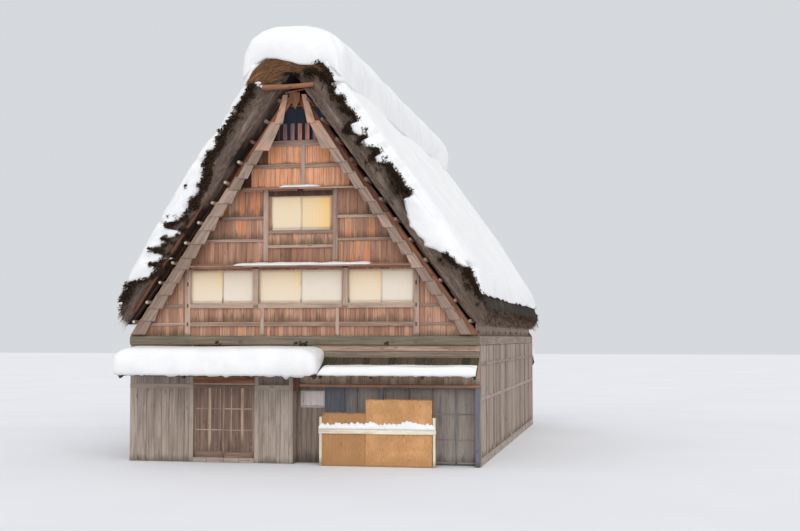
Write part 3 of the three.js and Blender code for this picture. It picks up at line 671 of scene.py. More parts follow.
class Sheaf(Gathering):
    """Loose straws: slim spikes that bend under their weight"""
    smooth = True

    def __init__(self, seed, width):
        super().__init__(seed)
        self.width = width

    def straw(self, root, way, reach, droop, tone, thick=1.0):
        """A three-sided spike; the slim ones are bent in the middle"""
        way = way.normalized()
        side = way.orthogonal().normalized()
        up = way.cross(side)
        turn, shift = self.pick(0, math.tau), self.pick(0, 40)
        first = len(self.points)
        rings = ((0, 1),) if thick > 1.5 else ((0, 1), (0.55, 0.8))
        for share, size in rings:
            centre = root + way * reach * share - UP * droop * share ** 2
            for k in range(3):
                angle = turn + k * math.tau / 3
                ring = (side * math.cos(angle) + up * math.sin(angle)) * (self.width * thick * size / 2)
                self.points.append(inside(centre + ring))
                self.grain.append((share * reach + shift, k * 0.01 + shift, 0))
        self.points.append(inside(root + way * reach - UP * droop))
        self.grain.append((reach + shift, shift, 0))
        tip = 3 * len(rings)
        self.tone.extend([tone] * (tip + 1))
        faces = [(0, 2, 1)] + [(tip - 3 + k, tip - 3 + (k + 1) % 3, tip) for k in range(3)]
        if tip > 3:
            faces += [(k, (k + 1) % 3, (k + 1) % 3 + 3, k + 3) for k in range(3)]
        self.faces.extend([first + i for i in face] for face in faces)


def build(name, points, faces, finish_name, smooth):
    """An object in the scene, made from points and faces"""
    mesh = bpy.data.meshes.new(name)
    mesh.from_pydata([tuple(p) for p in points], [], faces)
    mesh.polygons.foreach_set("use_smooth", [smooth] * len(mesh.polygons))
    mesh.validate()
    mesh.update()
    made = bpy.data.objects.new(name, mesh)
    bpy.context.scene.collection.objects.link(made)
    mesh.materials.append(finish(finish_name))
    return made


def keep(made, name, values):
    """Stores a number or a vector with each point of a mesh, for its finish to read"""
    vector = hasattr(values[0], "__len__")
    kept = made.data.attributes.new(name, "FLOAT_VECTOR" if vector else "FLOAT", "POINT")
    if vector:
        kept.data.foreach_set("vector", [c for value in values for c in value])
    else:
        kept.data.foreach_set("value", values)


def settle(made, slot, *nodes, body="house"):
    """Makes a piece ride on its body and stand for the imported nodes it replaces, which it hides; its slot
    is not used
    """
    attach(made, body)
    if nodes:
        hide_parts(*nodes)


def mass(name, cells, place, finish_name, size=(1, 1, 1)):
    """A closed soft mass: the skin of a box of cells, each corner put where place says.
    place takes three shares from 0 to 1 and gives a point and a tone."""
    index = {}
    points, grain, tone, faces = [], [], [], []

    def corner(*cell):
        if cell not in index:
            shares = [c / n for c, n in zip(cell, cells)]
            point, dark = place(*shares)
            index[cell] = len(points)
            points.append(point)
            grain.append([s * z for s, z in zip(shares, size)])
            tone.append(dark)
        return index[cell]

    for axis in range(3):
        one, two = [a for a in range(3) if a != axis]
        for end in (0, cells[axis]):
            for i in range(cells[one]):
                for j in range(cells[two]):
                    ring = []
                    for a, b in ((0, 0), (1, 0), (1, 1), (0, 1)):
                        cell = [0, 0, 0]
                        cell[axis], cell[one], cell[two] = end, i + a, j + b
                        ring.append(corner(*cell))
                    faces.append(ring if (end > 0) == (axis != 1) else ring[::-1])
    made = build(name, points, faces, finish_name, True)
    work = bmesh.new()
    work.from_mesh(made.data)
    bmesh.ops.recalc_face_normals(work, faces=work.faces)
    work.to_mesh(made.data)
    work.free()
    keep(made, "grain", grain)
    keep(made, "tone", tone)
    return made


def snow_mass(name, cells, place, *nodes):
    """A mass of snow on the house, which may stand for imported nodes; its place gives a point alone"""
    made = mass(name, cells, lambda *shares: (inside(place(*shares)), 0.5), "fresh_snow")
    settle(made, "snow", *nodes)


class Line:
    """A line of points in a plane that can be asked for the place at a share of its length"""

    def __init__(self, points):
        self.points = points
        self.marks = [0.0]
        for (x0, z0), (x1, z1) in zip(points, points[1:]):
            self.marks.append(self.marks[-1] + math.hypot(x1 - x0, z1 - z0))
        self.length = self.marks[-1]

    def at(self, share):
        """The point at a share of the length"""
        want = min(max(share, 0), 1) * self.length
        for i, mark in enumerate(self.marks[1:]):
            if want <= mark or i == len(self.marks) - 2:
                part = (want - self.marks[i]) / (mark - self.marks[i])
                (x0, z0), (x1, z1) = self.points[i], self.points[i + 1]
                return x0 + (x1 - x0) * part, z0 + (z1 - z0) * part


def between_lines(inner, outer, share, across):
    """The point at a share of the length of two lines, and some way from the inner to the outer one"""
    (x0, z0), (x1, z1) = inner.at(share), outer.at(share)
    return x0 + (x1 - x0) * across, z0 + (z1 - z0) * across


def read(marks, at):
    """The value at a place along a list of (place, value) marks, held at its two ends"""
    if at <= marks[0][0]:
        return marks[0][1]
    for (before, first), (after, second) in zip(marks, marks[1:]):
        if at <= after:
            return first + (second - first) * (at - before) / (after - before)
    return marks[-1][1]


def softened(points, rounds=2):
    """Cuts the corners of a line of points, and keeps its two ends"""
    for _ in range(rounds):
        cut = [points[0]]
        for (x0, z0), (x1, z1) in zip(points, points[1:]):
            cut.append((x0 * 0.75 + x1 * 0.25, z0 * 0.75 + z1 * 0.25))
            cut.append((x0 * 0.25 + x1 * 0.75, z0 * 0.25 + z1 * 0.75))
        points = cut + [points[-1]]
    return points


def rough(x, y, z, seed=0.0):
    """Smooth noise around 0, about -1 to 1"""
    return noise.noise(Vector((x + seed * 7.3, y - seed * 3.1, z + seed * 5.7))) * 1.6


def rounded(share, over):
    """A quarter circle that rises from 0 at share 0 to 1 at share over"""
    return math.sqrt(max(0.0, 1 - (1 - min(share / over, 1)) ** 2))


def thinned(values):
    """Shares that crowd towards both ends"""
    away = 2 * values - 1
    return away * (1.35 - 0.35 * away * away)


def clipped(polygon, keep_side):
    """The part of a convex polygon where keep_side of its points is not below 0"""
    result = []
    for a, b in zip(polygon, polygon[1:] + polygon[:1]):
        da, db = keep_side(a), keep_side(b)
        if da >= 0:
            result.append(a)
        if da * db < 0:
            share = da / (da - db)
            result.append(tuple(p + (q - p) * share for p, q in zip(a, b)))
    return result


def between_slopes(outline):
    """The part of an upright outline in X and Z that lies under both slopes of the roof"""
    for hand in (-1, 1):
        outline = clipped(outline, lambda p: under_roof(p[1]) + hand * p[0])
    return outline


def plank_row(work, side, spans, width, gap, tone=None):
    """Upright planks on a gable, cut along the roof. Spans are (x0, x1, z0, z1)"""
    for x0, x1, z0, z1 in spans:
        for x, step in work.widths(x0, x1, width, 0.72, 1.35, width / 2):
            low = z0 + work.pick(0, LOOSE_FEET)
            left, right = x + gap / 2, x + step - gap / 2
            outline = between_slopes([(left, low), (right, low), (right, z1), (left, z1)])
            if len(outline) < 3 or max(p[1] for p in outline) - low < 0.03:
                continue
            depth = PLANK + work.pick(-0.006, 0.004)
            corners = [(px, side * (HALF_LENGTH - PLANK), pz) for px, pz in outline]
            level = tone(x + step, (z0 + z1) / 2, work.pick(0, 1)) if tone else work.pick(0, 0.8)
            work.board(corners, (0, side, 0), depth, 0.003, UP, level)


def hole_spans(x0, x1, z0, z1, holes):
    """Cuts a wall into spans beside, under and over its rectangular holes"""
    edges = sorted({x0, x1, *(h[0] for h in holes), *(h[1] for h in holes)})
    spans = []
    for left, right in zip(edges, edges[1:]):
        middle = (left + right) / 2
        low = z0
        for hole in sorted(holes, key=lambda h: h[2]):
            if hole[0] < middle < hole[1]:
                if hole[2] > low:
                    spans.append((left, right, low, hole[2]))
                low = hole[3]
        if low < z1:
            spans.append((left, right, low, z1))
    return spans


def gable_bar(work, side, wear, x0, x1, z0, z1, out, deep, tone=None):
    """A post or rail on a gable, from its corners in X and Z; its face stands out by that much"""
    y = side * (HALF_LENGTH + out - deep / 2)
    if x1 - x0 > z1 - z0:
        work.rail(x0, x1, y, (z0 + z1) / 2, z1 - z0, deep, wear, 0.006, tone, 4)
    else:
        work.post((x0 + x1) / 2, y, z0, z1, x1 - x0, deep, wear, 0.004, tone, 3)


WINDOW_POSTS = (-3.575, -1.4, 1.4, 3.575)
POST_HALF = 0.085
WINDOW_LOW = 4.83
WINDOW_HIGH = 5.835
UPPER_WINDOW = (-0.935, 0.935, 7.05, 8.09)
UPPER_POST = 1.09
LOWER_WINDOWS = [(a + POST_HALF, b - POST_HALF, WINDOW_LOW, WINDOW_HIGH)
                 for a, b in zip(WINDOW_POSTS, WINDOW_POSTS[1:])]
LOWER_BAND = (BEAM_TOP + GAP, 5.88)
MIDDLE_BAND = (5.8803, 8.33)
TOP_BAND = (8.3303, 10.88)
VENT = (-0.72, 0.66, 9.80, 10.86)


def backing(work, side, low, high, holes):
    """Plain boards behind a gable's boarding, open at its windows"""
    for x0, x1, z0, z1 in hole_spans(-HALF_WIDTH, HALF_WIDTH, low, high, holes):
        outline = between_slopes([(x0, z0), (x1, z0), (x1, z1), (x0, z1)])
        if len(outline) > 2:
            corners = [(x, side * (HALF_LENGTH - 0.118), z) for x, z in outline]
            work.board(corners, (0, side, 0), 0.08, 0.002, UP, 0.1)


def storey(timber, side, gable, name, band, holes, rows, bars, tone=None, slim=1, wood="gable_boards"):
    """The backing and planks of one storey, and its posts and rails, which are given back unfinished.
    Rows are (x0, x1, z0, z1); bars go on with how far they stand out, their depth and their tone"""
    boards = Joinery(f"{gable} {name} boards")
    backing(boards, side, *band, holes)
    plank_row(boards, side, rows, timber.board_width * slim, timber.board_gap, tone)
    boards.done(f"gable_boards_{gable}_{name}", wood, "plank_wall", f"gable_wall_{gable}_{name}")
    work = Joinery(f"{gable} {name} posts")
    for bar in bars:
        gable_bar(work, side, timber.edge_wear, *bar)
    return work


def lower_gable(timber, side, gable):
    """The storey with the row of three windows"""
    low, high = LOWER_BAND
    edge = WINDOW_POSTS[3] + POST_HALF
    rows = [(-edge, edge, low, 4.14), (-edge, edge, 4.24, 4.71)]
    rows += [(-HALF_WIDTH, -edge, low, high), (edge, HALF_WIDTH, low, high)]
    rows += [(a, b, WINDOW_HIGH, high) for a, b, _, _ in LOWER_WINDOWS]
    bars = [(x - POST_HALF, x + POST_HALF, low if abs(x) > 2 else 4.7, high, 0.058, 0.14)
            for x in WINDOW_POSTS]
    for z0, z1, tone in ((4.68, WINDOW_LOW, 1.0), (4.125, 4.26, 0.3)):
        bars.append((-edge, edge, z0, z1, 0.046, 0.12, tone))
        for hand in (-1, 1):
            ends = sorted((hand * edge, hand * (under_roof(z1) - 0.02)))
            bars.append((*ends, z0 + 0.03, z1 - 0.02, 0.03, 0.06))
    bars += [(-1.24, -1.13, low, 4.68, 0.05, 0.1), (1.11, 1.22, low, 4.68, 0.05, 0.1)]
    posts = storey(timber, side, gable, "lower", LOWER_BAND, LOWER_WINDOWS, rows, bars, slim=0.78)
    for x in (WINDOW_POSTS[0], WINDOW_POSTS[3]):
        for z in (5.42, 4.76, 4.19):
            tenon = [(x, side * (HALF_LENGTH + out), z) for out in (0.03, 0.066)]
            posts.bar(*tenon, (1, 0, 0), 0.045, 0.12, 0.004, tone=-0.52)
    posts.done(f"gable_posts_{gable}_lower", "rose_timber", "gray_timber")


def middle_gable(timber, side, gable):
    """The storey with one window"""
    low, high = MIDDLE_BAND
    inner = UPPER_POST - 0.03
    rows = [(-inner, inner, low, 6.52), (-inner, inner, 6.57, 6.98), (-inner, inner, 8.09, high)]
    for ends in ((-HALF_WIDTH, -inner), (inner, HALF_WIDTH)):
        rows += [(*ends, low, 6.71), (*ends, 6.78, 7.40), (*ends, 7.47, high)]
    rows += [(-inner, UPPER_WINDOW[0], 6.98, 8.09), (UPPER_WINDOW[1], inner, 6.98, 8.09)]

    def tone(x, z, dice):
        """Dark in the shade of the ledge over the window, and damp below it"""
        if abs(x) < inner + 0.05:
            return -0.55 + 0.04 * dice if z > 8 else 0.3 + 0.5 * dice if z > 6.6 else -0.51 + 0.16 * dice
        warm = 0.42 if dice > 0.66 and abs(x) > 1.3 else 0.06
        return dice * 0.62 + warm + (0.35 if z > 7.5 and side * x > 0 else 0.0)

    bars = [(x - 0.075, x + 0.075, low + 0.17, high, 0.058, 0.14) for x in (-UPPER_POST, UPPER_POST)]
    bars += [(-UPPER_POST, UPPER_POST, z0, z1, 0.046, 0.11) for z0, z1 in ((6.94, 7.05), (6.50, 6.59))]
    for hand in (-1, 1):
        for reach, z0, z1 in ((2.50, 7.39, 7.48), (3.00, 6.70, 6.79)):
            bars.append((*sorted((hand * UPPER_POST, hand * reach)), z0, z1, 0.04, 0.09))
    posts = storey(timber, side, gable, "middle", MIDDLE_BAND, [UPPER_WINDOW], rows, bars, tone)
    posts.done(f"gable_posts_{gable}_middle", "rose_timber", "gray_timber")


def top_gable(timber, side, gable):
    """The top of a gable, with the slats of its smoke vent"""
    low, high = TOP_BAND
    left, right, sill, lintel = VENT
    rows = [(-HALF_WIDTH, HALF_WIDTH, low, 8.965), (-HALF_WIDTH, HALF_WIDTH, 9.06, 9.63)]
    rows += [(-HALF_WIDTH, left, 9.77, high), (right, HALF_WIDTH, 9.77, high)]
    rows += [(left, right, 9.77, sill), (left, right, lintel, high)]

    def bleached(x, z, dice):
        """Pale in the middle, partly sun bleached and partly painted light; near black where the roof
        shades it, as painted shade
        """
        shadow = abs(x) > under_roof(z) - (0.62 if x < 0 else 0.36)
        return -0.56 + dice * 0.06 if shadow else 0.58 + dice * 0.42

    bars = [
        (-1.01, 1.01, 9.62, 9.785, 0.046, 0.1, 0.5),
        (-1.50, 1.50, 8.955, 9.07, 0.046, 0.1, 0.5),
        (0.01, 0.14, low, 9.63, 0.056, 0.13, 1.0),
    ]
    wood = "bleached_and_lit_boards"
    posts = storey(timber, side, gable, "top", TOP_BAND, [VENT], rows, bars, bleached, wood=wood)
    slats = Joinery(f"{gable} slats")
    for i, tone in enumerate((0.05, 0.2, 0.5, 0.75, 0.1)):
        x = (i - 2) * 0.235 - 0.04
        y = side * (HALF_LENGTH - 0.03)
        slats.panel(x - 0.065, x + 0.065, 9.76, 10.32, y, side, 0.028, 0.004, tone)
    slats.done(f"vent_slats_{gable}", "slat_wood", "plank_wall")
    # Painted shadow: a blue-gray board behind the vent stands for the shade inside it
    dark = Joinery(f"{gable} vent")
    dark.panel(*VENT, side * (HALF_LENGTH - 0.17), side, 0.012, 0.002)
    dark.done(f"vent_back_{gable}", "vent_shadow", "plank_wall")
    posts.done(f"gable_posts_{gable}_top", "rose_timber", "gray_timber")


class FARMHOUSE_OT_gable_walls(bpy.types.Operator):
    """Boards, posts and rails of both gables, with their smoke vents"""
    bl_idname = "farmhouse.gable_walls"
    bl_label = "Gable walls"

    def execute(self, context):
        timber = context.scene.farmhouse_timber
        for side, gable in GABLES:
            lower_gable(timber, side, gable)
            middle_gable(timber, side, gable)
            top_gable(timber, side, gable)
        return {"FINISHED"}


class FARMHOUSE_OT_barge_boards(bpy.types.Operator):
    """Lapped boards that follow the slopes of each gable, and the pointed board at their top"""
    bl_idname = "farmhouse.barge_boards"
    bl_label = "Barge boards"

    def execute(self, context):
        for side, gable in GABLES:
            for sign, hand in SLOPES:
                self.row(side, gable, sign, hand)
                self.lining(side, gable, sign, hand)
            self.pointed_board(side, gable)
        return {"FINISHED"}

    def row(self, side, gable, sign, hand):
        """Each board is steeper than the slope, so that the row ends in teeth; the top two are long"""
        boards = Joinery(f"barge {gable} {hand}")
        on_right = side * sign < 0
        foot, high, count, lap, thick = 3.87, 9.42, 14, 0.06, 0.02
        pitch = (high - foot) / count
        marks = [foot + i * pitch + boards.pick(-0.05, 0.05) * (i > 0) for i in range(count)]
        marks += [high, 10.20, 11.06]
        for i, (z0, z1) in enumerate(zip(marks, marks[1:])):
            upper = i - count
            z1 += lap if upper < 1 else 0
            shift = 0.14 if on_right else read([(7.6, 0.0), (8.7, 0.13)], z0)
            outer_foot, outer_head = shift + boards.pick(0.02, 0.05), shift * 0.8
            wide, narrow = 0.50 + boards.pick(-0.03, 0.03), 0.40 + boards.pick(-0.02, 0.02)
            if upper == 0:
                outer_foot, outer_head, wide, narrow = 0.13, 0.07, 0.60, 0.40
            elif upper == 1:
                outer_foot, outer_head, wide, narrow = 0.22, -0.12, 0.48, 0.03
            outline = [(under_roof(z0) - outer_foot, z0), (under_roof(z1) - outer_head, z1),
                       (under_roof(z1) - narrow, z1), (under_roof(z0) - wide, z0 - 0.02 * (i > 0))]
            lean = 0.085 - 0.022 / (z1 - z0)
            corners = [
                (sign * x, side * (HALF_LENGTH + 0.116 + 0.085 * (z1 - 4.0) - lean * (z1 - z)), z)
                for x, z in outline
            ]
            if upper >= 0:
                tone = 0.8 + 0.15 * upper
            else:
                bump = 0.3 * math.exp(-((z0 - 7.0) / 0.9) ** 2) if on_right else 0.0
                tone = min(0.68, boards.pick(0, 0.7) * min(1.0, z0 / 6) + bump)
            along = Vector((-sign * SLOPE_COS, 0, SLOPE_SIN))
            boards.board(corners, (0, side, -lean), thick, 0.004, along, tone)
        place = f"{gable}_{hand}"
        boards.done(f"barge_board_row_{place}", "barge_wood", "gray_timber", f"barge_boards_{place}")

    def lining(self, side, gable, sign, hand):
        """Rusty brown boards behind the row, from the beam to the apex"""
        lining = Joinery(f"lining {gable} {hand}")
        marks = [BEAM_TOP + 0.02, 5.6, 7.5, 9.3, 11.0]
        for z0, z1 in zip(marks, marks[1:]):
            outline = [(under_roof(z0) - 0.005, z0), (under_roof(z1) - 0.005, z1),
                       (under_roof(z1) - 0.30, z1), (under_roof(z0) - 0.30, z0)]
            outline = clipped(outline, lambda p: p[0] - 0.01)
            corners = [(sign * x, side * (HALF_LENGTH + 0.072 + 0.085 * (z - 4.0)), z) for x, z in outline]
            along = Vector((-sign * SLOPE_COS, 0, SLOPE_SIN))
            lining.board(corners, (0, side, -0.085), 0.02, 0.004, along)
        lining.done(f"barge_lining_{gable}_{hand}", "rust_boards", "gray_timber")

    def pointed_board(self, side, gable):
        """The pointed board that covers the top of both rows"""
        point = Joinery(f"point {gable}")
        outline = [(-0.15, 11.11), (0.18, 11.11), (0.165, 10.86), (0.02, 10.60), (-0.12, 10.86)]
        corners = [(x, side * (HALF_LENGTH + 0.165 + 0.085 * (z - 4.0)), z) for x, z in outline]
        point.board(corners, (0, side, -0.085), 0.025, 0.005, UP, 0.55)
        point.done(f"pointed_board_{gable}", "rust_boards", "gray_timber")


RAFTER_STEP = 1.89


class FARMHOUSE_OT_roof_frame(bpy.types.Operator):
    """Round purlins, rafters and verge poles under the thatch, and the pole across its top"""
    bl_idname = "farmhouse.roof_frame"
    bl_label = "Roof frame"

    def execute(self, context):
        for sign, hand in SLOPES:
            poles = Poles(f"frame {hand}")
            cuts = Joinery(f"cut ends {hand}")

            def place(z, depth, y):
                return (sign * under_roof(z, depth), y, z)

            for i in range(12):
                z = BEAM_TOP + 0.48 + i * 0.74 * SLOPE_SIN
                reach = HALF_LENGTH + 0.26 + 0.085 * (z - 4.0)
                ends = (-reach - poles.pick(0, 0.05), reach)
                purlin = [place(z - 0.045, 0.12, y) for y in ends]
                poles.pole(*purlin, 0.056, 0.056, 0.012, poles.pick(0.3, 1), 14)
                if z > (9.3 if sign < 0 else 8.1):
                    continue
                for y in ends:
                    cut = [place(z - 0.045, 0.12, y + math.copysign(out, y)) for out in (-0.01, 0.006)]
                    cuts.pole(*cut, 0.042, 0.036, 0, cuts.pick(-0.1, 0.35), 1, 9)
            for i in range(10):
                y = (i - 4.5) * RAFTER_STEP
                foot = place(BEAM_TOP + 0.06, 0.256, y)
                poles.pole(foot, place(11.0, 0.256, y), 0.088, 0.075, 0.02, poles.pick(0, 0.6), 8, 12)
            for side, _ in GABLES:
                # Painted shade: on the deep side the verge poles are near black, as the gap under the
                # thatch is in shadow
                tone = -0.5 if side * sign > 0 else 0.35
                for out, thick in ((0.07, 0.037), (0.19, 0.035)):
                    y = side * (HALF_LENGTH + out)
                    lean = side * 0.06 if out > 0.1 else 0
                    ends = place(4.24, 0.038, y), place(11.0, 0.038, y + lean)
                    poles.pole(*ends, thick, thick, 0.012, tone, 9)
            poles.done(f"roof_poles_{hand}", "red_timber_grain", "red_timber", f"roof_frame_{hand}")
            cut_wood = "pale_rail_wood" if sign < 0 else "rose_timber"
            cuts.done(f"purlin_cuts_{hand}", cut_wood, "pale_timber")
        crown = Poles("apex pole")
        low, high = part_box("apex_pole")
        y = (low.y + high.y) / 2
        crown.pole((-0.82, y, 11.19), (0.74, y, 11.23), 0.083, 0.066, 0.035, 1.2, 9, 14)
        crown.pole((-0.16, y + 0.10, 11.02), (0.56, y + 0.10, 11.15), 0.028, 0.022, 0.03, 0.2, 6, 8)
        crown.done("crossing_pole", "rust_boards", "red_timber", "apex_pole")
        return {"FINISHED"}


def both_halves(half, *middle):
    """A line across the roof, from one half of it and the points in its middle"""
    return [*half, *middle, *((-x, z) for x, z in reversed(half))]


SLAB_SIZE = (9.3, 19, 0.74)  # Up the slope, along the house, and through the thatch
THATCH_BEND, THATCH_TOP = 11.55, 11.86  # Heights at which the thatch turns level, and of its crest
HOOD_FOOT, HOOD_END = 11.325, 9.50
VERGE_END = 9.45
OUTER_FACE = [(5.69, 4.64), (5.54, 5.08), (5.13, 5.85), (outer_x(THATCH_BEND), THATCH_BEND)]
VERGE_LINE = [(z, x) for x, z in OUTER_FACE]
THATCH_INNER = Line([(5.411, 4.2), (GAP, INNER_APEX)])
THATCH_OUTER = Line(OUTER_FACE + [(GAP, THATCH_TOP)])
HOOD = [(1.33, HOOD_FOOT), (1.215, 11.58), (1.01, 11.86), (0.74, 12.04), (0.38, 12.105)]
HOOD_OVER = Line(softened(both_halves(HOOD)))
HOOD_UNDER = Line(softened(both_halves(
    [(outer_x(HOOD_FOOT) + GAP, HOOD_FOOT), (outer_x(THATCH_BEND) + GAP, THATCH_BEND + GAP)],
    (0, THATCH_TOP + GAP)), 1))
# Heights, and how far the snow laps over the cut end of the thatch there
DEEP_DRIFT = [
    (5.45, 0.0), (5.55, 0.30), (5.64, 0.62), (5.78, 0.82), (5.90, 0.78), (6.00, 0.50), (6.06, 0.36),
    (6.13, 0.66), (6.24, 0.80), (6.33, 0.66), (6.41, 0.30), (6.50, 0.10), (6.58, 0.28), (6.66, 0.56),
    (6.74, 0.50), (6.81, 0.26), (6.88, 0.58), (6.97, 0.75), (7.06, 0.68), (7.13, 0.28), (7.20, 0.06),
    (7.27, 0.16), (7.36, 0.42), (7.52, 0.48), (7.66, 0.60), (7.80, 0.54), (8.00, 0.47), (8.21, 0.51),
    (8.42, 0.40), (8.57, 0.43), (8.75, 0.28), (8.96, 0.15), (9.10, 0.05), (9.25, 0.07), (9.40, 0.03),
    (9.54, 0.17), (9.66, 0.10), (9.80, 0.0), (10.2, 0.0), (10.4, 0.05), (10.56, 0.08), (10.7, 0.0),
]
LOW_DRIFT = [
    (5.80, 0.0), (5.95, 0.22), (6.12, 0.26), (6.22, 0.30), (6.34, 0.50), (6.50, 0.66), (6.70, 0.75),
    (7.06, 0.75), (7.25, 0.68), (7.44, 0.60), (7.62, 0.50), (7.76, 0.43), (7.87, 0.35), (7.93, 0.12),
    (8.05, 0.0), (8.20, 0.12), (8.32, 0.03), (8.85, 0.04), (8.93, 0.36), (9.10, 0.33), (9.18, 0.05),
    (9.32, 0.02), (9.38, 0.27), (9.50, 0.42), (9.58, 0.38), (9.64, 0.10), (9.70, 0.10), (9.76, 0.40),
    (9.90, 0.44), (10.06, 0.34), (10.12, 0.04), (10.42, 0.0), (10.50, 0.10), (10.60, 0.02), (10.86, 0.0),
    (10.95, 0.12), (11.02, 0.10), (11.1, 0.02), (11.3, 0.0),
]


def hollow(x, z):
    """Depth of the hollow that opens under the hood, a little right of the middle; its straw is painted
    dark, as shade
    """
    return 0.42 * math.exp(-abs((x - 0.18) / 0.46) ** 4 - abs((z - 11.47) / 0.16) ** 4)


def hood_end(z):
    """The end of the hood leans out with the verge and draws back under the snow at its top"""
    return HOOD_END + verge_lean(z) - 0.25 * max(0.0, z - 11.6)


def end_relief(along, across, seed):
    """Unevenness of cut straw, drawn out along the slope"""
    waves = 0.035 * rough(along * 0.8, across * 7, 0, seed)
    return waves + 0.014 * rough(along * 3.5, across * 30, 5, seed)


def near_ends(v, reach, over):
    """Signed share along the house, the side it is nearer to, and 1 at that end fading over some metres"""
    away = thinned(v)
    side = -1 if away < 0 else 1
    return away, side, max(0.0, 1 - (1 - abs(away)) * reach / over)


def drift(side, sign, z):
    """How far snow laps over the cut end of the thatch, measured level"""
    return read(DEEP_DRIFT if side * sign > 0 else LOW_DRIFT, z)


# How much darker the cut end of the thatch is at each height, on the deep and the low side; below 0 it is
# lighter
DEEP_SHADE = [(7.0, 0.28), (7.5, 0.34), (7.9, 0.0), (8.7, 0.0), (9.2, 0.34), (9.6, 0.16), (10.1, 0.0)]
LOW_SHADE = [(6.2, -0.08), (7.0, 0.42), (8.3, 0.42), (8.8, 0.0), (9.2, -0.15)]


def face_shade(hand, z, across):
    """Where the cut end is darker: painted shade near the poles, where the gap under the thatch is in
    shadow, and darker or lighter at the heights that DEEP_SHADE and LOW_SHADE list
    """
    near_poles = max(0.0, 0.30 - across) * (2.2 if hand > 0 else 0.8)
    return near_poles + read(DEEP_SHADE if hand > 0 else LOW_SHADE, z)


def clean_rim(hand, z):
    """Where no loose straw grows: at the smooth rim of the snow, and in front of the hood"""
    return 6.3 < z < 7.86 if hand < 0 else z > 11.3


def thatch_slab(sign, hand):
    """One slope of thatch, with uneven cut ends"""
    def place(u, v, w):
        x, z = between_lines(THATCH_INNER, THATCH_OUTER, u, w)
        away, side, fade = near_ends(v, 10, 0.5)
        along, across = u * SLAB_SIZE[0], w * SLAB_SIZE[2]
        relief = end_relief(along, across, sign + side * 3) - 0.10 * w ** 5 - 0.03 * (1 - w) ** 4
        y = away * (VERGE_END + verge_lean(z)) + side * fade * (relief - hollow(sign * x, z))
        if w == 1:
            lumps = 0.028 * rough(along * 1.6, y * 1.6, 3, sign)
            x, z = x + lumps * SLOPE_SIN, z + lumps * SLOPE_COS
        if u == 0:
            ragged = 0.03 * rough(y * 2.5, w * 6, 9, sign)
            x, z = x + ragged, z - ragged
        # Painted shade in the tone: the straw in the hollow is as dark as the fringe, and face_shade
        # darkens the cut end near the poles
        dark = 1.4 if hollow(sign * x, z) > 0.1 else w + face_shade(side * sign, z, w)
        return inside((sign * max(x, GAP), y, z)), dark

    made = mass(f"thatch_slab_{hand}", (150, 56, 12), place, "thatch_slab", SLAB_SIZE)
    settle(made, "thatch", f"thatch_{hand}")


def bunch(sheaf, root, lean, spread, reach, count):
    """Short thick wisps that grow from one place"""
    dark = sheaf.pick(0, 0.12)
    for _ in range(count):
        jitter = Vector([sheaf.pick(-1, 1) for _ in range(3)])
        sheaf.straw(root + jitter * spread, lean + jitter.yzx * 0.9, reach * sheaf.pick(0.5, 1.3), 0.02,
                    dark + sheaf.pick(0, 0.14), sheaf.pick(2.0, 3.4))


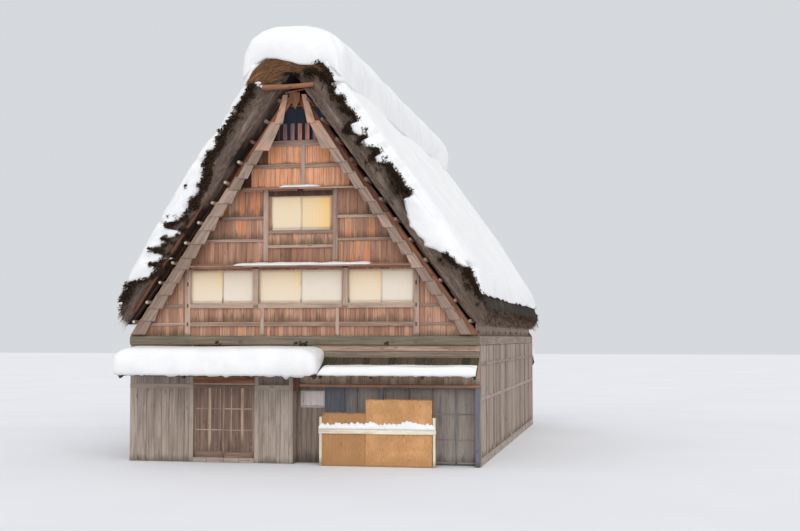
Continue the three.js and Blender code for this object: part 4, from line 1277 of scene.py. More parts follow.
def verge_straws(thatch, sign, hand, side, gable):
    """Mossy wisps along the outer edge of a cut end, and loose straws all over it"""
    down = Vector((sign * SLOPE_COS, 0, -SLOPE_SIN))
    out = Vector((sign * SLOPE_SIN, 0, SLOPE_COS))
    ahead = Vector((0, side, 0))
    fringe = Sheaf(f"fringe {gable} {hand}", thatch.straw_width)
    share_here = 1.0 if side < 0 else 0.5
    for _ in range(int(thatch.fringe_straws * share_here / 30)):
        x, z = THATCH_OUTER.at(fringe.pick(0.0, 0.94))
        if clean_rim(side * sign, z):
            continue
        x -= drift(side, sign, z)
        y = side * (VERGE_END + verge_lean(z) - fringe.pick(0.02, 0.20))
        root = Vector((sign * x, y, z)) - out * fringe.pick(0.0, 0.26)
        lean = out * fringe.pick(0.2, 1.1) + ahead * fringe.pick(0.1, 0.9) + down * fringe.pick(-0.2, 0.8)
        bunch(fringe, root, lean, fringe.pick(0.04, 0.09), fringe.pick(0.05, 0.15), 30)
    for _ in range(int(280 * share_here)):
        x, z = THATCH_OUTER.at(fringe.pick(0.03, 0.93))
        lap = drift(side, sign, z)
        if clean_rim(side * sign, z):
            continue
        buried = lap > 0.3 and fringe.pick(0, 1) < 0.12 and z > 7.3
        inward = fringe.pick(-0.05, 0.22 if side * sign > 0 else 0.12) + (0.02 if buried else lap)
        y = side * (VERGE_END + verge_lean(z) + 0.02 + fringe.pick(0, 0.06))
        root = Vector((sign * (x - inward), y, z))
        bunch(fringe, root, out * 0.6 + ahead * 0.8, fringe.pick(0.04, 0.09), fringe.pick(0.04, 0.09), 24)
    fringe.done(f"verge_fringe_{gable}_{hand}", "loose_straw", "thatch")

    face = Sheaf(f"face {gable} {hand}", thatch.straw_width)
    for _ in range(int(thatch.face_straws * share_here)):
        share, across = face.pick(0.0, 0.97), face.pick(0.02, 0.86)
        x, z = between_lines(THATCH_INNER, THATCH_OUTER, share, across)
        y = side * (VERGE_END + verge_lean(z) - 0.03 - 0.9 * hollow(sign * x, z))
        turn = 1 if face.pick(0, 1) < 0.8 else -1
        way = down * turn + ahead * face.pick(0.05, 0.30) + out * face.pick(-0.18, 0.18)
        # The straws take the same darkening as the cut end, painted shade near the poles included
        dark = across + face_shade(side * sign, z, across)
        tone = min(0.98, max(0.02, face.dice.gauss(0.64, 0.09) - 0.55 * max(0.0, dark - 0.55)))
        face.straw(Vector((sign * x, y, z)), way, face.pick(0.12, 0.36), face.pick(0, 0.03), tone, 0.9)
    face.done(f"verge_straws_{gable}_{hand}", "loose_straw", "thatch")
    if side * sign > 0:
        stick = Poles(f"verge stick {gable}")
        ends = []
        for share in (0.05, 0.52):
            x, z = THATCH_INNER.at(share)
            x, z = x + 0.03 * SLOPE_SIN, z + 0.03 * SLOPE_COS
            ends.append((sign * x, side * (VERGE_END + verge_lean(z) - 0.005), z))
        stick.pole(*ends, 0.046, 0.036, 0.02, 0.1, 12)
        stick.done(f"verge_stick_{gable}", "rust_boards", "red_timber")


def eave_straws(thatch, sign, hand):
    """Straws that hang from an eave"""
    eave = Sheaf(f"eave {hand}", thatch.straw_width)
    for _ in range(thatch.eave_straws):
        y = eave.pick(-9.36, 9.36)
        across = eave.pick(0, 1)
        x, z = 5.411 + 0.27 * across, 4.22 + 0.42 * across
        way = Vector((sign * eave.pick(0.2, 0.75), eave.pick(-0.25, 0.25), -1))
        eave.straw(Vector((sign * (x - 0.02), y, z + 0.03)), way, eave.pick(0.07, 0.2), 0.02,
                   eave.pick(0.3, 0.8) - 0.3 * across)
    eave.done(f"eave_straws_{hand}", "loose_straw", "thatch")


class FARMHOUSE_OT_thatch(bpy.types.Operator):
    """Both slopes of straw thatch, with loose straw on their cut ends and eaves"""
    bl_idname = "farmhouse.thatch"
    bl_label = "Thatch"

    def execute(self, context):
        thatch = context.scene.farmhouse_thatch
        for sign, hand in SLOPES:
            thatch_slab(sign, hand)
            eave_straws(thatch, sign, hand)
            for side, gable in GABLES:
                verge_straws(thatch, sign, hand, side, gable)
        return {"FINISHED"}


class FARMHOUSE_OT_ridge_hood(bpy.types.Operator):
    """The hood of brown straw that is bent over the ridge"""
    bl_idname = "farmhouse.ridge_hood"
    bl_label = "Ridge hood"

    def execute(self, context):
        thatch = context.scene.farmhouse_thatch

        def place(u, v, w):
            x, z = between_lines(HOOD_UNDER, HOOD_OVER, u, w)
            away, side, fade = near_ends(v, 10, 0.4)
            relief = end_relief(u * 4, w * 0.3, side * 5) * 1.3 - 0.05 * w ** 4
            y = away * hood_end(z) + side * fade * (relief - 0.6 * hollow(x, z + 0.06))
            # Painted shade: the straw in the hollow under the hood is as dark as the fringe
            dark = 1.4 if hollow(x, z + 0.06) > 0.12 else 0.1 + 0.4 * w + max(0, side * -x - 0.4) * 0.8
            return inside((x, y, z)), dark

        made = mass("ridge_hood", (56, 56, 6), place, "hood_slab", (4, 19, 0.35))
        settle(made, "straw", "ridge_cap")
        for side, gable in GABLES:
            self.straws(thatch, side, gable)
        return {"FINISHED"}

    def straws(self, thatch, side, gable):
        """Brown straws that sweep over the end of the hood, and hang loose along its lower edge"""
        sheaf = Sheaf(f"hood {gable}", thatch.straw_width)
        for _ in range(2900):
            u = sheaf.pick(0.02, 0.98)
            w = sheaf.pick(-0.9, 0.97)
            x, z = between_lines(HOOD_UNDER, HOOD_OVER, u, w)
            dim = max(0.0, min(1.0, (-side * x - 0.25) / 0.5))
            if z < 11.16 or hollow(x, z) > 0.10 or (w < 0 and dim > 0.3):
                continue
            swirl = math.atan2(z - 10.9, -side * x + 0.15)
            way = Vector((-side * math.sin(swirl), 0, -math.cos(swirl)))
            way += Vector((sheaf.pick(-0.3, 0.3), side * sheaf.pick(0.02, 0.2), sheaf.pick(-0.25, 0.25)))
            end = hood_end(z) if w > 0 else VERGE_END + 0.05 + verge_lean(z)
            y = side * (end - sheaf.pick(0.0, 0.06))
            reach = sheaf.pick(0.16, 0.46)
            root = Vector((x, y, z)) - way.normalized() * reach * 0.5
            tone = max(0.03, sheaf.dice.gauss(0.70, 0.13) - 0.5 * dim)
            sheaf.straw(root, way, reach, sheaf.pick(0, 0.04), tone, 1.1)
        for _ in range(30):
            u = sheaf.pick(0.02, 0.30)
            x, z = HOOD_OVER.at(u if side < 0 else 1 - u)
            outward = 1 if x > 0 else -1
            root = Vector((x - outward * 0.05, side * (hood_end(z) + sheaf.pick(-0.06, 0.02)), z - 0.03))
            way = Vector((outward * sheaf.pick(0.3, 1), side * sheaf.pick(0, 0.3), sheaf.pick(-0.9, 0.5)))
            bunch(sheaf, root, way, sheaf.pick(0.05, 0.09), sheaf.pick(0.05, 0.1), 26)
        sheaf.done(f"hood_straws_{gable}", "hood_straw", "straw")


SLOPE_FOOT = Line(softened([(5.5405, 5.08), (5.1305, 5.85), (outer_x(11.31) + GAP, 11.31)], 2))


def snow_slope(snow, sign, hand):
    """The snow on one slope, thin at its edges"""
    def place(u, v, w):
        x, z = SLOPE_FOOT.at(u)
        away, side, _ = near_ends(v, 10, 1)
        along = u * SLOPE_FOOT.length
        ragged = 1.0 + 0.9 * max(0, min(1, (7.6 - z) / 1.2))
        wander = snow.edge_waves * (0.45 + 0.85 * rough(along, side * 9, 1, sign)) * ragged
        wander += 0.20 * max(0, rough(along * 2.9, side * 5, 7, sign)) * ragged
        lap = drift(side, sign, z)
        wander *= max(0.15, 1 - 4 * lap)
        edge = VERGE_END - 0.04 + verge_lean(z) - max(0.0, wander)
        y = away * edge
        from_edge = edge - abs(y)
        deep = snow.slope_depth * (0.55 + 0.5 * min(1, (z - 5.08) / 2.6))
        firm = 0.42 + (0.30 * math.exp(-((z - 8.8) / 1.3) ** 2) if side * sign > 0 else 0.0)
        swell = firm + (1 - firm) * rounded(from_edge, 0.55)
        swell *= 0.35 + 0.65 * rounded(along + 0.02, 0.6)
        height = deep * swell + snow.unevenness * rough(y * 0.45, along * 0.6, 4, sign) * min(1, from_edge)
        height = max(height, 0.05)
        bulge = math.sin(math.pi * w)
        if u == 0:
            x, z = x + 0.03 * bulge, z - 0.05 * bulge * (1 + rough(y * 1.7, 3, 3, sign))
        if v in (0, 1):
            y += side * (0.07 * bulge - 0.03 * w)
        x, z = x + height * w * SLOPE_SIN, z + height * w * SLOPE_COS
        return sign * x, y, z

    snow_mass(f"slope_snow_{hand}", (110, 110, 4), place, f"roof_snow_{hand}")


DOME_FOOT = 11.345
RIDGE_DOME = [(1.56, DOME_FOOT), (1.62, 11.90), (1.56, 12.42), (1.33, 12.83), (0.96, 13.11), (0.48, 13.278)]


class FARMHOUSE_OT_roof_snow(bpy.types.Operator):
    """Deep snow on both slopes, and the rounded cap of snow on the ridge"""
    bl_idname = "farmhouse.roof_snow"
    bl_label = "Roof snow"

    def execute(self, context):
        snow = context.scene.farmhouse_snow
        for sign, hand in SLOPES:
            snow_slope(snow, sign, hand)
        self.ridge()
        return {"FINISHED"}

    def ridge(self):
        """The cap on the ridge, its lips over both ends, and the snow on the verges"""
        dome = Line(softened(both_halves(RIDGE_DOME), 3))
        seat = Line(softened(both_halves([(x + 0.001, z + 0.001) for x, z in HOOD])))

        def place(u, v, w):
            x0, z0 = seat.at(u)
            x1, z1 = dome.at(u)
            away, side, _ = near_ends(v, 10, 1)
            above = max(0.0, (z1 - 12.0) / 1.28)
            edge = VERGE_END + 0.07 + verge_lean(min(z1, 12.3)) - 0.30 * above ** 2
            edge -= 0.14 + 0.10 * rough(u * 6, side * 4, 2)
            y = away * edge
            from_edge = edge - abs(y)
            sink = 0.05 * max(0.0, 1 - from_edge / 1.1) ** 2
            x1 *= 1 + 0.03 * rough(y * 0.5, u * 4, 6) - 0.3 * sink
            z1 -= sink * (z1 - DOME_FOOT) + 0.07 * above * max(0, 0.5 + rough(y * 0.35, u * 2, 3))
            shoulder = 0.42 * (1 - rounded(from_edge, 0.55))
            inset = 1 - shoulder / max(0.5, math.hypot(x1 - x0, z1 - z0))
            x, z = x0 + (x1 - x0) * w * inset, z0 + (z1 - z0) * w * inset
            if v in (0, 1):
                y += side * 0.06 * math.sin(math.pi * min(1, w + 0.15))
            return x, y, max(z, 11.33)

        snow_mass("ridge_snow_cap", (72, 110, 6), place, "ridge_snow")
        for side, gable in GABLES:
            self.lip(side, gable)
            for sign, hand in SLOPES:
                verge_drift(side, gable, sign, hand)

    def lip(self, side, gable):
        """Snow that hangs over the end of the hood, lower on the right of whoever faces it"""
        low = [(-1.50, 11.50), (-1.32, 11.62), (-1.05, 11.92), (-0.75, 12.07), (-0.50, 12.05),
               (-0.20, 11.99), (0.05, 11.93), (0.24, 11.87), (0.47, 11.80), (0.72, 11.79),
               (0.95, 11.86), (1.15, 11.80), (1.50, 11.50)]
        left = [(-1.50, 11.85), (-1.42, 12.35), (-1.22, 12.72), (-0.88, 12.94), (-0.44, 13.06)]
        high = both_halves(left)
        hood_face, box_end = 10.05, 10.496

        def place(u, v, w):
            x = 1.5 * thinned(u)
            foot = read(low, x) + 0.02 * rough(x * 5, 1, 1, side)
            z = foot + (read(high, x) - foot) * w
            swell = 0.0
            if 0 < u < 1 and w < 1:
                swell = math.sin(math.pi * (0.16 + w * 0.84)) * math.sin(math.pi * u)
            y = hood_face + (0.02 + 0.43 * max(0.0, swell) ** 0.3) * v
            return -side * x, side * min(y, box_end), z

        snow_mass(f"hood_snow_{gable}", (48, 3, 24), place)
        for number, (x, z) in enumerate(((-1.0, 11.29), (-0.85, 11.19)), 1):
            stub = Poles(f"stub {gable} {x}")
            end = hood_end(z)
            ends = (-side * x, side * (end - 0.2), z), (-side * (x + 0.03), side * (end + 0.02), z - 0.01)
            stub.pole(*ends, 0.045, 0.04, 0.004, 1.0, 3, 10)
            stub.done(f"pole_stub_{gable}_{number}", "pale_rail_wood", "red_timber")
            lump(f"stub_snow_{gable}_{number}", (-side * (x + 0.02), side * (end - 0.01), z + 0.045),
                 (0.10, 0.07, 0.04), number)


def verge_drift(side, gable, sign, hand):
    """Snow that laps in lobes over the cut end of the thatch"""
    marks = DEEP_DRIFT if side * sign > 0 else LOW_DRIFT
    low, high = marks[0][0], marks[-1][0]

    def place(u, v, w):
        z = low + (high - low) * u
        lap = drift(side, sign, z) * (1 + 0.2 * rough(z * 5, 2, 2, side + sign))
        over = 0.04 + 0.1 * lap
        out = over - (over + lap) * v
        bulk = math.sqrt(max(0.0, math.sin(math.pi * v))) * min(1.0, lap / 0.2)
        end = VERGE_END + verge_lean(z)
        front = end - 0.03 + 0.13 * bulk + 0.03 * rough(z * 3, v * 2, 5, sign) * bulk
        x = read(VERGE_LINE, z) + out
        sag = 0.04 * v * min(1.0, lap / 0.3)
        return sign * x, side * (end - 0.16 + (front - end + 0.16) * w), z - sag

    snow_mass(f"verge_snow_{gable}_{hand}", (190, 12, 3), place)


def lump(name, centre, radii, seed):
    """A rounded lump of snow"""
    def place(u, v, w):
        ball = Vector((u - 0.5, v - 0.5, w - 0.5)) * 2
        ball = ball.normalized() * max(abs(c) for c in ball)
        size = 1 + 0.16 * rough(*(ball * 1.7), seed)
        return [c + b * r * size for c, b, r in zip(centre, ball, radii)]

    snow_mass(name, (16, 16, 16), place)


LEDGES = (  # Storey, half width, height, reach, boards, posts that it is notched over, and ends of its snow
    ("lower", 3.485, 6.04, 0.33, 4, WINDOW_POSTS, (-2.02, 2.22)),
    ("upper", 1.85, 8.39, 0.26, 2, (-UPPER_POST, UPPER_POST, 0), (-0.60, 0.66)),
)


class FARMHOUSE_OT_ledges(bpy.types.Operator):
    """Sloping boards over the windows of both gables, with a little snow on them"""
    bl_idname = "farmhouse.ledges"
    bl_label = "Ledges"

    def execute(self, context):
        for side, gable in GABLES:
            for storey, half, z, reach, pieces, posts, snow in LEDGES:
                self.ledge(side, gable, storey, half, z, reach, pieces, posts)
                self.strip(side, gable, storey, *snow, z, reach)
        return {"FINISHED"}

    def ledge(self, side, gable, storey, half, z, reach, pieces, posts):
        """Boards end to end over the windows, and a batten between the posts under them"""
        boards = Joinery(f"ledge {gable} {storey}")
        wall = HALF_LENGTH + GAP
        step = 2 * half / pieces
        up = Vector((0, side * 0.2, 1))
        for i in range(pieces):
            x0, x1 = -half + i * step + 0.003, -half + (i + 1) * step - 0.003
            near, far = side * (wall + 0.062), side * (wall + reach)
            corners = [(x0, near, z - 0.064), (x1, near, z - 0.064),
                       (x1, far, z - 0.115), (x0, far, z - 0.115)]
            boards.board(corners, up, 0.042, 0.006, (1, 0, 0))
        for x0, x1 in gaps_between(-half, half, [(x - 0.09, x + 0.09) for x in posts]):
            boards.rail(x0, x1, side * (wall + 0.031), z - 0.08, 0.13, 0.06, 0.006)
        boards.done(f"ledge_board_{gable}_{storey}", "head_wood", "red_timber", f"ledge_{gable}_{storey}")

    def strip(self, side, gable, storey, x0, x1, z, reach):
        """A thin strip of snow on a ledge"""
        def place(u, v, w):
            x = x0 + (x1 - x0) * u
            ends = rounded(min(u, 1 - u) * (x1 - x0) + 0.004, 0.25)
            out = 0.07 + (reach - 0.05) * v + 0.015 * rough(x * 3, v * 2, 1)
            deep = (0.055 + 0.02 * rough(x * 2.2, v, side)) * ends
            deep *= 0.45 + 0.55 * math.sin(math.pi * (0.15 + 0.75 * v))
            base = z - 0.0215 - 0.2 * (out - 0.062)
            out += 0.012 * math.sin(math.pi * w) * (1 if v == 1 else 0)
            return x, side * (HALF_LENGTH + out), base + 0.001 + max(deep, 0.004) * w

        snow_mass(f"ledge_snow_{gable}_{storey}", (60, 6, 3), place)


def gaps_between(x0, x1, taken):
    """The stretches from x0 to x1 that are not taken"""
    free, low = [], x0
    for a, b in sorted(taken):
        if a < x1 and b > x0:
            free.append((low, a))
            low = b
    free.append((low, x1))
    return [(a, b) for a, b in free if b - a > 0.02]


class FARMHOUSE_OT_screens(bpy.types.Operator):
    """Pairs of sliding paper screens in the windows of both gables"""
    bl_idname = "farmhouse.screens"
    bl_label = "Paper screens"

    def execute(self, context):
        for place, window in zip(("left", "middle", "right"), LOWER_WINDOWS):
            self.pair("front", place, FRONT, window, 9.035, f"shoji_front_{place}")
            self.pair("back", place, BACK, window, 8.949, "shoji_back_lower")
        self.pair("front", "upper", FRONT, UPPER_WINDOW, 9.035, "shoji_front_upper")
        self.pair("back", "upper", BACK, UPPER_WINDOW, 8.949, "shoji_back_upper")
        return {"FINISHED"}

    def pair(self, gable, place, side, window, y, node):
        """Two screens side by side in a window, one a little behind the other"""
        x0, x1, z0, z1 = window
        spread = 0.0 if y > 9 else 0.05
        x0, x1, z0, z1 = x0 + GAP - spread, x1 - GAP + spread, z0 + GAP - spread, z1 - GAP + spread
        middle = (x0 + x1) / 2
        frames = Joinery(f"screens {gable} {place}")
        sheets = ((x0, middle + 0.02, y + 0.010), (middle - 0.02, x1, y - 0.008))
        for number, (a, b, plane) in enumerate(sheets):
            rim = 0.034
            for x in (a + rim / 2, b - rim / 2):
                frames.post(x, side * plane, z0, z1, rim, 0.016, 0.002)
            for z, wide in ((z0 + 0.028, 0.05), (z1 - 0.018, 0.034)):
                frames.rail(a + rim, b - rim, side * plane, z, wide, 0.016, 0.002)
            opening = a + rim - 0.006, b - rim + 0.006, z0 + 0.05, z1 - 0.03
            self.paper(gable, place, side, number, opening, plane)
        frames.done(f"screen_frames_{gable}_{place}", "screen_wood", "paper", node)

    def paper(self, gable, place, side, number, sheet, plane):
        """The paper of one screen; a painted glow of lamp light warms some of it, with no lamp behind it"""
        x0, x1, z0, z1 = sheet

        def put(u, v, w):
            x, z = x0 + (x1 - x0) * u, z0 + (z1 - z0) * w
            y = side * (plane - 0.003 + 0.003 * v + 0.0015 * rough(x * 2.4, z * 2.1, 1, number))
            inner = u if number == 0 else 1 - u
            if place == "upper":
                warm = 0.30 + 0.1 * w if number == 0 else 0.5 + 0.45 * u ** 2 + 0.1 * w
            elif number == 0:
                warm = 0.22 + 0.20 * w + 0.35 * max(0, inner - 0.72) / 0.28 * w
            else:
                warm = 0.05 + 0.12 * w + 0.3 * max(0, u - 0.6) * max(0, w - 0.6)
            return (x, y, z), min(1.0, warm + 0.06 * rough(x * 1.3, z * 1.7, 5))

        made = mass(f"screen_paper_{gable}_{place}_{number + 1}", (24, 1, 18), put, "window_paper",
                    (x1 - x0, 0.003, z1 - z0))
        settle(made, "paper")


PENT_LEFT = {"wall": 3.05, "edge": 2.68, "reach": 1.02}
PENT_RIGHT = {"wall": 3.20, "edge": 2.69, "reach": 0.76}
PENT_SPLIT = 0.735
PENTS = (
    ("left", FRONT, PENT_LEFT, -HALF_WIDTH, PENT_SPLIT, True),
    ("right", FRONT, PENT_RIGHT, PENT_SPLIT + 0.005, HALF_WIDTH, False),
    ("back", BACK, PENT_LEFT, -HALF_WIDTH, HALF_WIDTH, True),
)


def pent_top(pent, out):
    """The height of a pent roof's upper face some way out from the wall"""
    return pent["wall"] + (pent["edge"] - pent["wall"]) * out / pent["reach"]


class FARMHOUSE_OT_pent_roofs(bpy.types.Operator):
    """Board roofs over the ground floor, on brackets, and the snow that lies on them"""
    bl_idname = "farmhouse.pent_roofs"
    bl_label = "Pent roofs"

    def execute(self, context):
        for name, side, pent, x0, x1, deep in PENTS:
            self.deck(name, side, pent, x0, x1)
            if deep:
                self.deep_snow(name, side, pent, x0, x1)
            else:
                self.thin_snow(name, side, pent, x0, x1)
        return {"FINISHED"}

    def deck(self, name, side, pent, x0, x1):
        """Boards that run down the slope, the rails under them and the brackets on the wall"""
        work = Joinery(f"pent {name}")
        wall, reach = HALF_LENGTH + GAP, pent["reach"]
        slope = (pent["wall"] - pent["edge"]) / reach
        up = Vector((0, side * slope, 1)).normalized()
        down = Vector((0, side, -slope)).normalized()
        for x, step in work.widths(x0, x1, 0.26, 0.8, 1.2):
            long = reach - work.pick(0, 0.03)
            a, b = x + 0.0015, x + step - 0.0015
            corners = [(edge, side * (wall + out), pent_top(pent, out) - 0.03)
                       for edge, out in ((a, 0), (b, 0), (b, long), (a, long))]
            work.board(corners, up, 0.03, 0.003, down)
        for out in (0.25, 0.62, reach - 0.10):
            ends = [(x, side * (wall + out), pent_top(pent, out) - 0.052) for x in (x0 + 0.01, x1 - 0.01)]
            work.bar(*ends, down, 0.08, 0.042, 0.005, 0.004, spans=5)
        count = max(2, round((x1 - x0) / BAY))
        bracket = ((0, pent["wall"] - 0.075), (0, pent["wall"] - 0.20),
                   (reach * 0.86, pent["edge"] - 0.12), (reach * 0.93, pent["edge"] - 0.05))
        for i in range(count + 1):
            x = x0 + 0.06 + (x1 - x0 - 0.12) * i / count
            corners = [(x - 0.035, side * (wall + out), z) for out, z in bracket]
            work.board(corners, (1, 0, 0), 0.07, 0.006, down)
        work.done(f"pent_deck_{name}", "mossy_boards", "gray_timber", f"pent_roof_{name}")

    def deep_snow(self, name, side, pent, x0, x1):
        """A deep bank with rounded corners, whose underside is tucked in at the ends"""
        wall, reach = HALF_LENGTH + GAP, pent["reach"]
        nose = [(0.0, 0.0), (0.07, 0.10), (0.10, 0.38), (0.06, 0.72), (-0.06, 0.93), (-0.16, 1.0)]
        nose = Line(softened(nose))
        left, right = x0 - 0.13, x1 + 0.02

        def place(u, v, w):
            front, height = nose.at(w)
            x = left + (right - left) * (0.5 + 0.5 * thinned(u))
            inward, ends, pulled = (-1, right - x, 0.22) if u > 0.5 else (1, x - left, 0.15)
            near = rounded(ends + 0.01, 0.3)
            tucked = 0.32 * (1 - rounded(1 - height, 0.5))
            x += inward * tucked * max(0, 1 - ends / 0.8) ** 1.5
            if u in (0, 1):
                x -= inward * 0.03 * math.sin(math.pi * v) * math.sin(math.pi * w)
            deep = (reach + front * (0.8 + 0.3 * rough(x * 0.6, w, 3))) * (1 - pulled * (1 - near))
            out = 0.001 + deep * v
            top = 3.53 - 0.05 * v - 0.10 * max(0, v - 0.7) / 0.3 * (v - 0.7)
            top += 0.02 * rough(x * 0.5, v * 2, 8)
            top -= 0.02 * (1 - near)
            base = pent_top(pent, min(out, reach)) + 0.001
            z = base + (top - base) * height
            if w == 0 and v == 1:
                z -= 0.025 + drip(x)
            return x, side * (wall + out), z

        def drip(x):
            """How far the lower edge sags, most at two tongues"""
            sag = 0.045 * max(0, rough(x * 2.3, 1, side)) + 0.02 * max(0, rough(x * 7, 4, side))
            sag += 0.10 * math.exp(-((x + 0.13) / 0.09) ** 2)
            return sag + 0.05 * math.exp(-((x + 2.0) / 0.06) ** 2)

        snow_mass(f"pent_snow_bank_{name}", (170, 18, 16), place, f"pent_snow_{name}")

    def thin_snow(self, name, side, pent, x0, x1):
        """A thinner layer that has slid off the upper part"""
        wall, reach = HALF_LENGTH + GAP, pent["reach"]

        def place(u, v, w):
            start = x0 - 0.02 + 0.13 * (1 - v) + 0.10 * w
            x = start + (x1 - 0.02 - start) * (0.5 + 0.5 * thinned(u))
            near = rounded(min(x - start + 0.02, x1 - 0.02 - x + 0.004), 0.35)
            belly = math.sin(math.pi * min(1, 0.12 + w * 0.8))
            out = 0.25 + 0.03 * rough(x, 2, 2) + (reach - 0.25 + 0.05 * belly - 0.06 * w) * v
            base = pent_top(pent, min(out, reach)) + 0.001
            back = 1 - 0.45 * (1 - v) ** 3
            top = 2.935 + 0.055 * (1 - v) + 0.015 * rough(x * 0.9, v * 2, 5)
            top = base + (top - base) * back * (0.3 + 0.7 * near)
            z = base + (top - base) * w
            if w == 0 and v == 1:
                z -= 0.02 + 0.035 * max(0, rough(x * 2.6, 2, 1)) + 0.02 * max(0, rough(x * 8, 4, 2))
            return x, side * (wall + out), z

        snow_mass(f"pent_snow_bank_{name}", (150, 12, 8), place, f"pent_snow_{name}")


def wall_planks(work, x0, x1, z0, z1, y, side, width, tone=None, thick=PLANK):
    """Upright planks on a ground floor wall that faces along Y; their backs lie at y"""
    for x, step in work.widths(x0, x1, width, least=width / 2):
        low = z0 + work.pick(0, LOOSE_FEET)
        level = tone(work.pick(0, 1)) if tone else None
        depth = thick + work.pick(-0.006, 0.004)
        work.panel(x + 0.003, x + step - 0.003, low, z1, y, side, depth, 0.004, level)


class FARMHOUSE_OT_body(bpy.types.Operator):
    """Side walls, back wall and the heavy beams over the ground floor"""
    bl_idname = "farmhouse.body"
    bl_label = "Body"

    def execute(self, context):
        timber = context.scene.farmhouse_timber
        for sign, hand in SLOPES:
            self.side_wall(timber, sign, hand)
        self.back_wall(timber)
        for side, gable in GABLES:
            self.tie_beam(side, gable)
        return {"FINISHED"}

    def tie_beam(self, side, gable):
        """The heavy beam under a gable with the ends of its tenons, and the moss that grows on it"""
        beam = Joinery(f"{gable} beam")
        z = (WALL_TOP + BEAM_TOP) / 2
        high = BEAM_TOP - WALL_TOP - 0.001
        beam.rail(-HALF_WIDTH, HALF_WIDTH, side * 9.06, z, high, 0.26, 0.022, 0.0, 0.35, 24)
        for x in (-3.575, -1.86, 0.55, 2.85, 3.575):
            tenon = [(x, side * y, z - 0.02) for y in (9.15, 9.205)]
            beam.bar(*tenon, (1, 0, 0), 0.13, 0.11, 0.01, 0, 0.05)
        beam.done(f"tie_beam_{gable}", "beam_wood", "gray_timber", f"{gable}_beam")
        moss = Sheaf(f"{gable} moss", 0.007)
        for middle, reach, tufts in ((0.0, 0.25, 16), (-2.57, 0.07, 5), (2.70, 0.06, 4)):
            for _ in range(tufts):
                x = -side * middle + moss.pick(-reach, reach)
                root = Vector((x, side * 9.185, z - 0.08 + moss.pick(-0.05, 0.06)))
                bunch(moss, root, Vector((0, side, 0.2)), 0.025, 0.022, 60)
        moss.done(f"beam_moss_{gable}", "beam_moss", "thatch")

    def side_wall(self, timber, sign, hand):
        """A boarded wall, its wall plate, and the board that closes the space under the thatch"""
        work = Joinery(f"side {hand}")
        end = WALL_FACE - GAP
        plate = HALF_LENGTH - 0.17 - GAP

        def slab(y0, y1, z0, z1, inner, thick, tone=None):
            corners = [(sign * inner, y, z) for y, z in ((y0, z0), (y1, z0), (y1, z1), (y0, z1))]
            work.board(corners, (sign, 0, 0), thick, 0.004, UP, tone)

        def rail(half, x, z, high, deep, *finer):
            work.bar((sign * x, -half, z), (sign * x, half, z), UP, high, deep, *finer)

        slab(-end, end, 0.0, WALL_TOP - GAP, 5.35, 0.05, 0.1)
        for y, step in work.widths(-end, end, timber.ground_board_width):
            depth = 0.034 + work.pick(-0.006, 0.004)
            slab(y + 0.003, y + step - 0.003, 0.22, WALL_TOP - 0.01, 5.402, depth)
        x = sign * (HALF_WIDTH - 0.045)
        for i in range(11):
            y = max(-end + 0.07, min(end - 0.07, (i - 5) * BAY))
            work.bar((x, y, 0), (x, y, WALL_TOP - 0.004), (0, 1, 0), 0.14, 0.13, 0.008, 0.003, spans=3)
        for z, high in ((0.11, 0.22), (1.95, 0.10), (3.0, 0.10)):
            rail(end, HALF_WIDTH - 0.035, z, high, 0.10, 0.008, 0.004, None, 12)
        rail(plate, 5.325, 3.6975, 0.27, 0.25, 0.012, 0.003, 0.3, 14)
        slab(-plate, plate, BEAM_TOP - 0.01, 4.30, 5.305, 0.028, 0.2)
        work.done(f"side_boards_{hand}", "gray_timber_grain", "gray_timber", f"side_wall_{hand}")

    def back_wall(self, timber):
        """The plain boarded wall under the back gable"""
        work = Joinery("back wall")
        y, top = WALL_FACE, WALL_TOP - GAP
        work.panel(-HALF_WIDTH, HALF_WIDTH, 0, top, y, 1, 0.055)
        wall_planks(work, -HALF_WIDTH, HALF_WIDTH, 0.2, top, y + 0.056, 1, timber.ground_board_width)
        for i in range(7):
            x = max(-5.37, min(5.37, (i - 3) * BAY))
            work.post(x, y + 0.07, 0, top, 0.15, 0.12, 0.008, 0.003, None, 3)
        for z, high in ((0.11, 0.22), (1.2, 0.1), (2.3, 0.12)):
            work.rail(-HALF_WIDTH, HALF_WIDTH, y + 0.07, z, high, 0.10, 0.008, 0.003, None, 9)
        work.done("back_boards", "gray_timber_grain", "gray_timber", "back_wall")


DOOR_LEFT, DOOR_RIGHT = -3.378, -1.425
DOOR_LOW, DOOR_HIGH = 0.14, 2.34
LEAVES = (  # Hand, left and right edge, back, and the upright bars with their widths and tones
    ("left", -3.372, -2.356, -9.010, ((-2.865, 0.085, 0.85), (-2.53, 0.03, 0.6))),
    ("right", -2.446, -1.431, -9.052, ((-2.165, 0.035, 0.9), (-1.81, 0.095, 1.0))),
)


